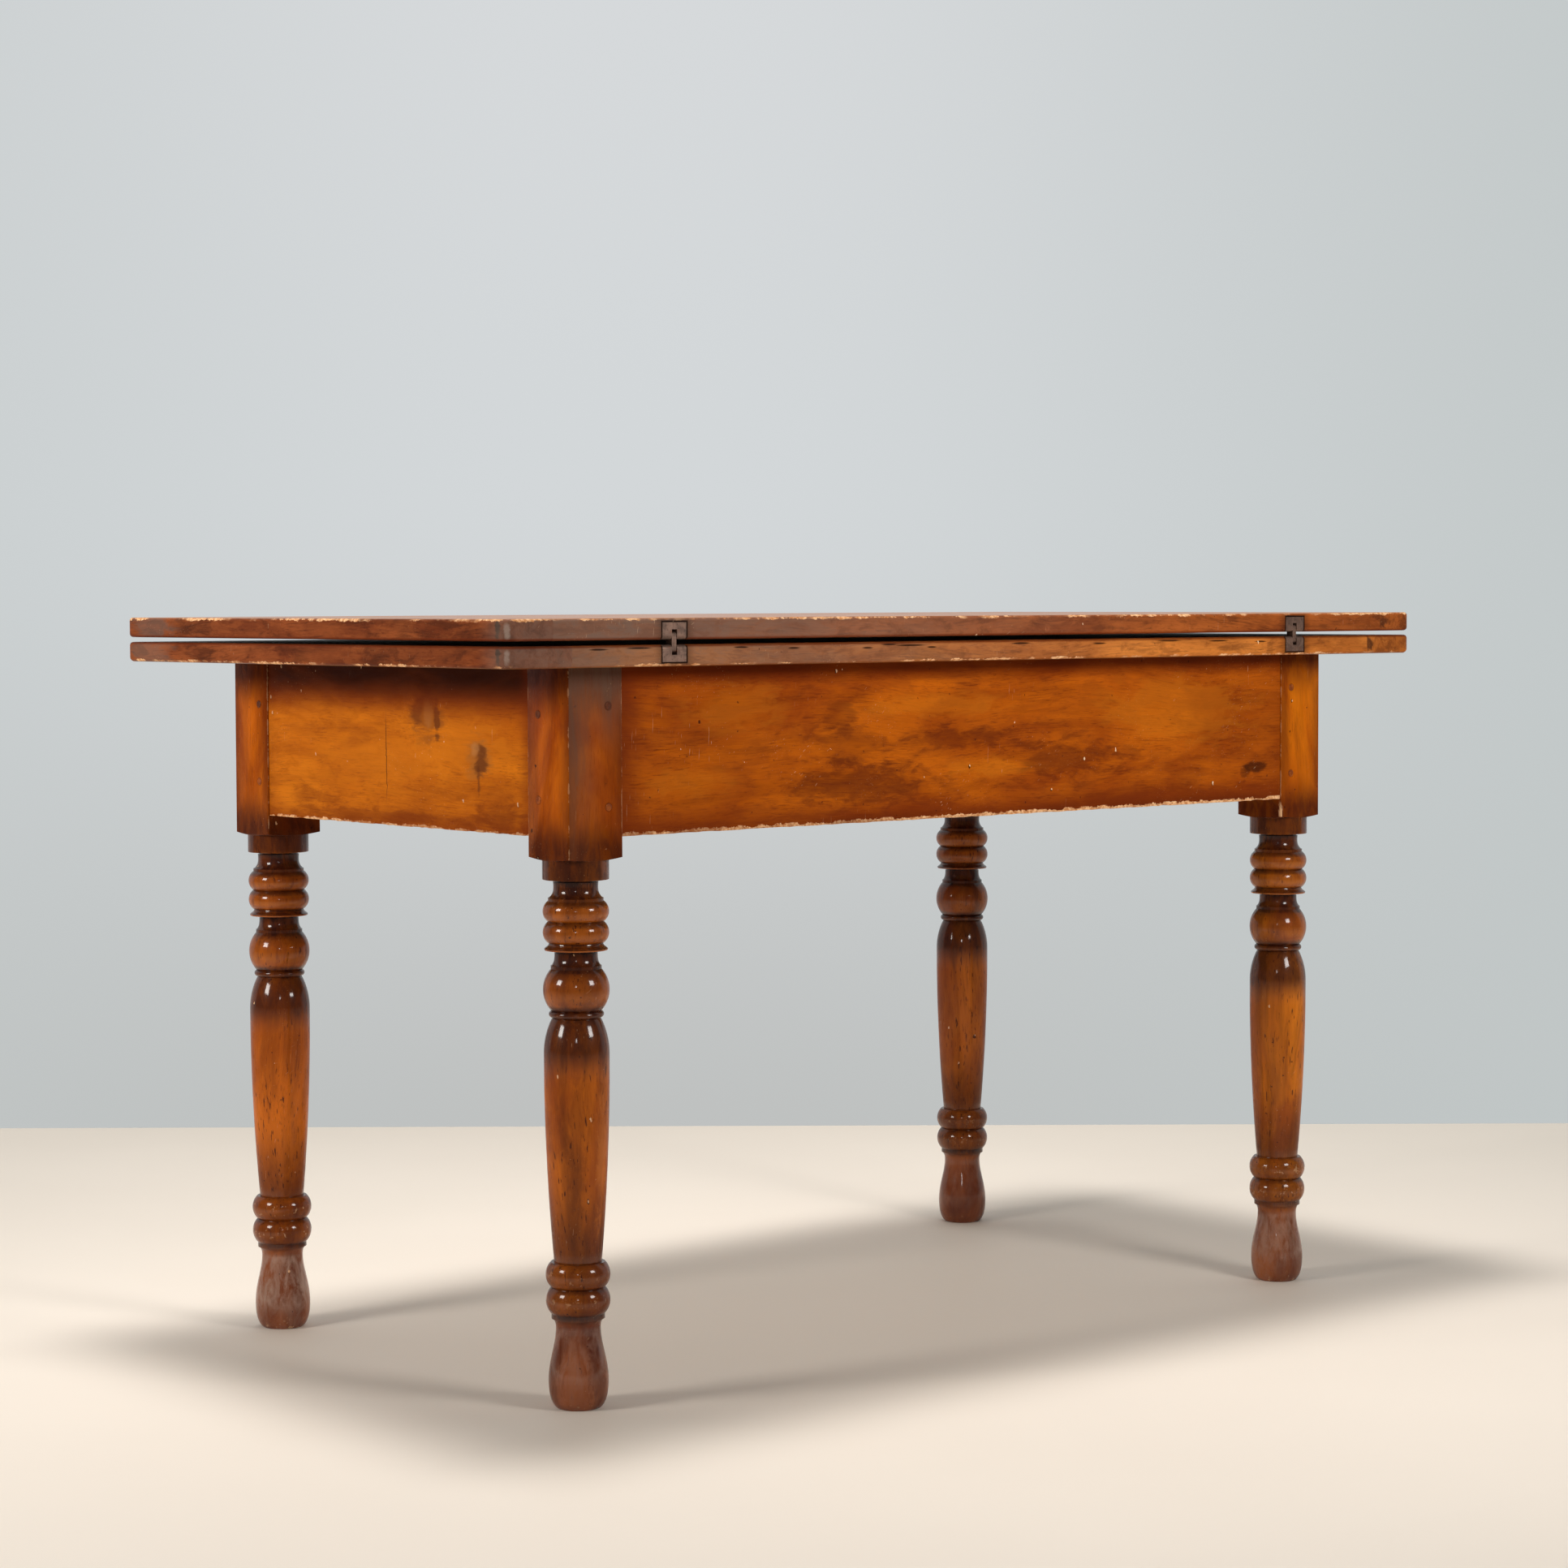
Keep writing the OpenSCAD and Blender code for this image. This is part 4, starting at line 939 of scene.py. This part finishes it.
def hang_apron(node, slot, grain, seed, out, turn, tones, spots, **looks):
    """One apron: out is the side it faces, and a spot is given along and up its board."""
    reach, side = (leg_x, leg_y) if grain == "x" else (leg_y, leg_x)
    face = out * (side + apron_out)
    raw_face = side + apron_out - apron_thick
    near, far = sorted((out * side, face))

    def in_axes(lengthwise, outward, upward):
        """A place on the board in the table's axes."""
        return (lengthwise, outward, upward) if grain == "x" else (outward, lengthwise, upward)

    patches = [(in_axes(along, face, height), in_axes(wide, 0.03, tall), share, stain)
               for along, height, wide, tall, share, stain in spots]
    apron = apron_board(node + "_board", reach, side, turn)
    low, high = in_axes(-unworn, near, apron_low), in_axes(unworn, far, unworn)
    dress(apron, board_finish(
        node + "_shellac", grain, seed, low, high, tones, patches=patches,
        raw_side=(1 if grain == "x" else 0, out * (raw_face + 0.0007), out * (raw_face + 0.0003)), **looks))
    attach(apron, "frame")
    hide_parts(node)


amber = shades((206, 114, 17), (180, 92, 11), (112, 46, 8))
red_brown = shades((188, 94, 13), (148, 65, 9), (86, 30, 8))
russet = red_brown[2]
soot = tone(48, 18, 8)
honey = tone(204, 114, 20)
knot_heart = tone(84, 40, 18)
knot_rim = tone(146, 90, 40)
# Each apron's darker bands are painted shade with some grime, under the leaves and at its ends against the
# leg blocks, and it darkens towards its lower edge.
hang_apron(
    "front_apron", "long_apron_wood", "x", 1, -1, 0, red_brown, (
        (-0.34, 0.7, 0.07, 0.03, 0.32, honey), (-0.06, 0.694, 0.13, 0.014, 0.35, honey),
        (0.32, 0.68, 0.14, 0.04, 0.36, honey), (-0.4, 0.622, 0.06, 0.018, 0.3, honey),
        (0.02, 0.625, 0.07, 0.012, 0.4, honey), (0.14, 0.632, 0.09, 0.026, 0.5, russet),
        (-0.03, 0.658, 0.09, 0.014, 0.45, russet), (-0.18, 0.614, 0.12, 0.028, 0.55, russet),
        (-0.18, 0.656, 0.07, 0.024, 0.32, russet), (-0.2, 0.684, 0.03, 0.02, 0.4, russet),
        (0.446, 0.612, 0.024, 0.006, 0.75, soot), (0.425, 0.606, 0.008, 0.01, 0.45, soot),
    ),
    bare=1.5, bare_width=0.006, bare_spread=(0, -0.22, -0.06, 0.4),
    soiled=((2, frame_top - 0.03, frame_top - 0.002, 0.64), (0, -0.44, -0.486, 0.55),
            (2, 0.61, apron_low, 0.62), (0, 0.45, 0.487, 0.3)),
)
hang_apron(
    "rear_apron", "long_apron_wood", "x", 2, 1, math.pi, red_brown,
    ((0.2, 0.64, 0.09, 0.03, 0.3, russet), (-0.3, 0.69, 0.012, 0.016, 0.7, soot)),
    bare=0.8, bare_width=0.0055, bare_spread=(0, -0.5, 0.3, 0.5),
    soiled=((2, frame_top - 0.03, frame_top - 0.002, 0.75), (0, -0.44, -0.484, 0.4), (0, 0.45, 0.488, 0.4)),
)
hang_apron(
    "left_apron", "end_apron_wood", "y", 3, -1, -math.pi / 2, amber, (
        (-0.12, 0.66, 0.1, 0.04, 0.6, honey), (0.02, 0.64, 0.14, 0.034, 0.52, honey),
        (0.19, 0.66, 0.05, 0.05, 0.35, amber[1]), (-0.152, 0.648, 0.027, 0.027, 0.6, knot_rim),
        (-0.157, 0.6455, 0.014, 0.018, 0.75, knot_heart),
        (-0.146, 0.656, 0.008, 0.009, 0.55, tone(176, 118, 66)),
        (-0.153, 0.622, 0.0035, 0.018, 0.55, knot_heart),
        (-0.062, 0.69, 0.034, 0.032, 0.6, tone(112, 62, 26)),
        (-0.08, 0.686, 0.0055, 0.026, 0.65, knot_heart), (-0.046, 0.696, 0.012, 0.02, 0.45, knot_heart),
        (-0.064, 0.69, 0.009, 0.018, 0.5, tone(164, 104, 50)), (0.16, 0.598, 0.06, 0.01, 0.4, amber[2]),
        (0.04, 0.582, 0.16, 0.009, 0.4, amber[2]), (-0.19, 0.588, 0.06, 0.02, 0.5, amber[2]),
    ),
    knocked=0.45, bare=0.8, bare_width=0.005, bare_spread=(1, 0.05, 0.2, 0.45),
    soiled=((2, frame_top - 0.078, frame_top - 0.01, 0.84), (1, -0.212, -0.24, 0.42),
            (1, 0.205, 0.238, 0.25), (2, 0.598, apron_low, 0.42)),
    cracks=(((-0.5525, 0.0135, 0.645), (0.02, 0.00065, 0.048)),),
)
hang_apron(
    "right_apron", "end_apron_wood", "y", 4, 1, math.pi / 2, amber,
    ((0.09, 0.66, 0.021, 0.022, 0.6, knot_rim), (0.092, 0.662, 0.01, 0.013, 0.75, knot_heart)),
    knocked=0.45, bare=0.7, bare_width=0.005, bare_spread=(1, -0.1, 0.2, 0.4),
    soiled=((2, frame_top - 0.08, frame_top - 0.008, 0.95), (1, -0.19, -0.238, 0.4),
            (1, 0.19, 0.238, 0.4), (2, 0.598, apron_low, 0.4)),
)

# Pegs.
# Riven pegs driven through the tenons, cut off just proud of the blocks and darkened with age.
peg_radius = 0.004
peg_length = 0.044
peg_proud = 0.0005
peg_middle = half_block + peg_proud - peg_length / 2
bpy.ops.mesh.primitive_cylinder_add(
    vertices=24, radius=peg_radius, depth=peg_length, rotation=(math.pi / 2, 0, 0))
peg_model = bpy.context.object
bpy.ops.object.transform_apply()
set_mode("EDIT")
pick("EDGE", lambda edge: all(v.co.y < -peg_length / 2 + 0.0001 for v in edge.verts))
bpy.ops.mesh.bevel(offset=0.0009, segments=3)
pick("FACE", lambda face: face.normal.y < -0.99)
bpy.ops.mesh.inset(thickness=0.0011)
bpy.ops.transform.translate(value=(0, 0.0002, 0))
set_mode("OBJECT")
bpy.ops.object.shade_smooth_by_angle(angle=math.radians(50))

peg_material, place = new_material("peg_end_grain")
speck = pattern(place, 900, 3, 0.6)
cloud = pattern(place, 120, 3, 0.6)
east, _, height = axes_of(place)
colour = layer(
    tone(160, 80, 22),
    (tone(116, 52, 16), remap(cloud, 0.35, 0.65)),
    (tone(66, 30, 16), remap(height, 0.66, 0.68, 0, 0.75), remap(east, 0.1, -0.1)),
    (tone(40, 17, 10), remap(speck, 0.55, 0.68, 0, 0.6)),
)
end_material({
    "Base Color": colour,
    "Roughness": remap(cloud, 0.3, 0.7, 0.3, 0.45),
    "Specular IOR Level": 0.16,
    "Normal": add_bump(0.4, 0.0004, speck),
})


def place_pegs(name, node, drops, spots):
    """Copies the peg to each spot, its head outwards, with a small twist of its own."""
    pegs = []
    for i, (x, y, outwards) in enumerate(spots):
        for drop in drops:
            peg = copy_piece(peg_model, name, (1, 1, 1), (0, 0, 0))
            peg.rotation_euler = (0, 0.7 * (i + drop * 90), 0)
            bpy.ops.object.transform_apply()
            peg.rotation_euler = (0, 0, outwards)
            peg.location = (x, y, frame_top - drop)
            bpy.ops.object.transform_apply()
            pegs.append(peg)
    hold(pegs[0])
    for peg in pegs:
        peg.select_set(True)
    bpy.ops.object.join()
    pegs[0].name = name
    dress(pegs[0], peg_material)
    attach(pegs[0], "frame")
    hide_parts(node)


corners = [(sx, sy) for sx in (-1, 1) for sy in (-1, 1)]
place_pegs("long_apron_tenon_pegs", "long_apron_pegs", long_peg_drops, [
    (sx * (leg_x - peg_inset), sy * (leg_y + peg_middle), 0 if sy < 0 else math.pi) for sx, sy in corners])
place_pegs("end_apron_tenon_pegs", "end_apron_pegs", end_peg_drops, [
    (sx * (leg_x + peg_middle), sy * (leg_y - peg_inset), sx * math.pi / 2) for sx, sy in corners])
bpy.data.objects.remove(peg_model)

# Storage well.
# Crosswise boards lie on two ledger strips nailed inside the long aprons, under a wide rail that
# carries the pivot. All of it is raw, dusty softwood.
well_start = -0.5297
well_board_width = 0.21188
well_wood, place = new_material("well_raw_wood")
board_number = combine("SUBTRACT", axes_of(place)[0], well_start)
board_number = combine("DIVIDE", board_number, well_board_width)
board_number = add_node("Math", {0: board_number}, operation="FLOOR").outputs[0]
chance = add_node("TexWhiteNoise", {"W": board_number}, noise_dimensions="1D").outputs[0]
own_grain = scaled(chance, (1, 3, 0))
crosswise = vector_math("ADD", turned_place(place, (0, 0, math.pi / 2)), own_grain)
grain = use_group(wood_grain, {"Place": crosswise, "Streak width": 0.022})
clouds = use_group(shellac_clouds, {"Place": crosswise})
colour = layer(
    tone(188, 152, 106),
    (tone(146, 106, 64), remap(grain["Streaks"], 0.35, 0.68)),
    (tone(150, 118, 82), clouds["Broad"], 0.5),
    (tone(98, 66, 38), grain["Pores"], 0.5),
    (tone(134, 98, 60), chance, 0.25),
)
end_material({
    "Base Color": colour,
    "Roughness": between(clouds["Fine"], 0.7, 0.86),
    "Specular IOR Level": 0.25,
    "Normal": add_bump(0.5, 0.0006, weighted_sum((grain["Fibres"],), (clouds["Fine"], 0.5))),
})


def finish_nodes(nodes, material):
    """Gives CAD nodes their finish and leaves their shapes alone."""
    for node in nodes:
        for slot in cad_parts[node].material_slots:
            slot.material = material


finish_nodes(("front_ledger", "rear_ledger", "pivot_rail"), well_wood)
finish_nodes(["well_floor_board_" + number for number in "12345"], well_wood)

# Leaves.
# Each leaf is three edge-glued boards, tongued at both ends into a cleat across the grain and
# pegged. Every outer arris is eased by use, most at the corners where hands turn the top.
leaf_half_x = 0.6625
leaf_half_y = 0.3525
leaf_thick = 0.0215
lower_leaf_low = 0.742
upper_leaf_low = 0.7685
hinge_x = 0.457
hinge_half_width = 0.015
hinge_depth = 0.017


def eased_copy(node, name, easing):
    """A copy of a CAD solid with its loose triangles merged and its sharp arrises eased."""
    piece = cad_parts[node].copy()
    piece.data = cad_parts[node].data.copy()
    piece.name = name
    piece.parent = None
    bpy.context.collection.objects.link(piece)
    hold(piece)
    set_mode("EDIT")
    bpy.ops.mesh.select_all(action="SELECT")
    bpy.ops.mesh.remove_doubles(threshold=merge_distance)
    bpy.ops.mesh.dissolve_limited(angle_limit=math.radians(0.4))
    set_mode("OBJECT")
    shape_with(piece, "BEVEL", {
        "width": easing, "segments": 2, "limit_method": "ANGLE", "angle_limit": math.radians(50),
        "use_clamp_overlap": True})
    bpy.ops.object.shade_smooth_by_angle(angle=math.radians(40))
    flatten_shading(piece)
    return piece


# The grey of a painted sheen on the leaves' edges.
painted_sheen_grey = tone(120, 98, 86)
end_shades = shades((152, 80, 40), (116, 54, 26), (54, 24, 14))
edge_splits = (
    (-0.55, 0.004, 0.012), (-0.5, 0.003, 0.016), (-0.37, 0.0035, 0.01), (-0.14, 0.004, 0.022),
    (-0.2, 0.006, 0.008), (-0.17, 0.0028, 0.012), (-0.11, 0.0062, 0.007), (-0.3, 0.005, 0.008),
    (0.02, 0.0035, 0.014), (0.14, 0.005, 0.01), (0.25, 0.003, 0.02), (0.33, 0.004, 0.016),
    (0.4, 0.0055, 0.01),
)
for level, low, tones, sheen_strength, cleat_width in (
    ("upper", upper_leaf_low, shades((172, 92, 40), (134, 66, 28), (66, 30, 17)), 0.8, 0.056),
    ("lower", lower_leaf_low, shades((214, 129, 55), (171, 95, 38), (86, 41, 20)), 0.68, 0.079),
):
    upper = level == "upper"
    top = low + leaf_thick
    middle = low + leaf_thick / 2
    looks = {
        "low": (-leaf_half_x, -leaf_half_y, -unworn if upper else low),
        "high": (leaf_half_x, leaf_half_y, top if upper else unworn),
        "raw_side": None if upper else (2, low + 0.0004, low + 0.0001),
        # painted shade along the gap between the two leaves
        "soiled": ((2, low + 0.004, low, 0.7) if upper else (2, top - 0.004, top, 0.75),),
        "worn_and_sheen_top": (top - 0.0008, top - 0.0001, tone(176, 122, 78)) if upper else None,
    }
    inlay_low, inlay_high = (low, low + hinge_depth) if upper else (top - hinge_depth, top)
    face_tint = None if upper else (0.62, 0.5, 0.44, 1)
    for row, seed in (("front", 5), ("middle", 6), ("rear", 7)):
        node = level + "_leaf_" + row + "_board"
        board = eased_copy(node, level + "_" + row + "_plank", 0.0004)
        cracks = [((x, -leaf_half_y, top - drop), (reach, 0.02, 0.001)) for x, drop, reach in edge_splits]
        # The upright faces carry a painted grey sheen, strongest towards the left end.
        dress(board, board_finish(
            node + "_shellac", "x", seed + low * 10, tones=tones, mottle=0.42, bare=0.7, bare_width=0.0046,
            painted_sheen=(0, 0.35, -0.62, painted_sheen_grey, sheen_strength), gloss=(0.3, 0.46), face_tint=face_tint,
            inlay=(hinge_x, hinge_half_width, inlay_low, inlay_high) if row == "front" else None,
            cracks=cracks if row == "front" and not upper else (), **looks))
        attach(board, level + "_leaf")
        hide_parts(node)
    for side, seed in (("left", 8), ("right", 9)):
        node = level + "_leaf_" + side + "_cleat"
        board = eased_copy(node, level + "_" + side + "_clamp", 0.0004)
        left = side == "left"
        joint_end = (leaf_half_x - cleat_width, -leaf_half_y, middle)
        # A dark smear at the right cleat's front joint. The left cleat has painted shade beside its front
        # corner, a painted highlight on that rounded corner, a darker and a paler patch, and a painted grey
        # sheen near its rear and towards its front corner.
        smears_and_painted_light = [(joint_end, (0.012, 0.03, 0.01), 0.7, tone(58, 32, 22))]
        if left:
            smears_and_painted_light = [
                ((-leaf_half_x, -0.339, middle), (0.01, 0.005, 0.016), 0.95, tone(30, 22, 18)),
                ((-leaf_half_x + 0.003, -leaf_half_y + 0.003, middle), (0.004, 0.004, 0.009), 0.6,
                 tone(196, 178, 164)),
                ((-leaf_half_x, 0.2, middle), (0.02, 0.035, 0.009), 0.4, end_shades[2]),
                ((-leaf_half_x, -0.05, middle), (0.02, 0.05, 0.008), 0.35, end_shades[0]),
                ((-leaf_half_x, 0.3, middle), (0.02, 0.05, 0.02), 0.45, painted_sheen_grey),
            ]
        dress(board, board_finish(
            node + "_shellac", "y", seed + low * 10, tones=end_shades if left else tones, mottle=0.45,
            patches=smears_and_painted_light, bare=0.85, bare_width=0.0048, gloss=(0.28, 0.44),
            painted_sheen=(1, -0.3, -0.36, painted_sheen_grey, 0.6) if left else None, face_tint=None if left else face_tint,
            **looks))
        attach(board, level + "_leaf")
        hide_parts(node)
finish_nodes(("lower_cleat_pegs", "upper_cleat_pegs", "stop_peg"), peg_material)

# Link hinges.
# Forged plates are let in flush and screwed to each leaf, and a thick link turns on a pin in each.
# Old iron under brown shellac, with rust in its corners.
old_iron, place = new_material("old_iron")
scale_pits = pattern(place, 420, 5, 0.65)
patches = pattern(place, 85, 4, 0.6, 0.5)
colour = layer(
    tone(128, 100, 86),
    (tone(92, 68, 56), remap(patches, 0.35, 0.65)),
    (tone(46, 32, 26), remap(scale_pits, 0.56, 0.7, 0, 0.8)),
    (tone(122, 66, 36), remap(pattern(place, 150, 3), 0.6, 0.72, 0, 0.6)),
)
end_material({
    "Base Color": colour,
    "Metallic": remap(patches, 0.3, 0.7, 0.75, 0.35),
    "Roughness": remap(scale_pits, 0.35, 0.65, 0.38, 0.62),
    "Normal": add_bump(0.5, 0.0004, scale_pits),
})
for side in ("left", "right"):
    for part, body, easing in (
        ("lower_plate", "lower_leaf", 0.0003),
        ("link", "hinge_links", 0.0005),
        ("upper_plate", "upper_leaf", 0.0003),
    ):
        node = side + "_hinge_" + part
        piece = eased_copy(node, side + "_forged_" + part, easing)
        dress(piece, old_iron)
        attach(piece, body)
        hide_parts(node)

screw_steel, place = new_material("screw_steel")
rust = pattern(place, 260, 4, 0.6)
end_material({
    "Base Color": blend(remap(rust, 0.4, 0.66), tone(150, 144, 136), tone(104, 66, 44)),
    "Metallic": remap(rust, 0.4, 0.66, 1, 0.3),
    "Roughness": remap(rust, 0.35, 0.65, 0.32, 0.6),
    "Normal": add_bump(0.35, 0.0003, rust),
})
finish_nodes(("lower_hinge_pins", "upper_hinge_pins", "lower_hinge_screws", "upper_hinge_screws",
              "pivot_plate_screws", "pivot_rail_screws", "ledger_nails"), screw_steel)

# Pivot.
# A round plate screwed up into the lower leaf holds a bolt by its head. The bolt turns in a bush
# in the rail and is held below by a washer and a square nut.
finish_nodes(("pivot_plate", "pivot_bolt", "pivot_washer", "pivot_nut"), old_iron)
bush_brass, place = new_material("bush_brass")
tarnish = pattern(place, 180, 4, 0.6)
end_material({
    "Base Color": blend(remap(tarnish, 0.35, 0.65), tone(192, 152, 84), tone(120, 88, 44)),
    "Metallic": 1,
    "Roughness": remap(tarnish, 0.3, 0.7, 0.28, 0.5),
    "Normal": add_bump(0.3, 0.0002, tarnish),
})
finish_nodes(("pivot_bush",), bush_brass)
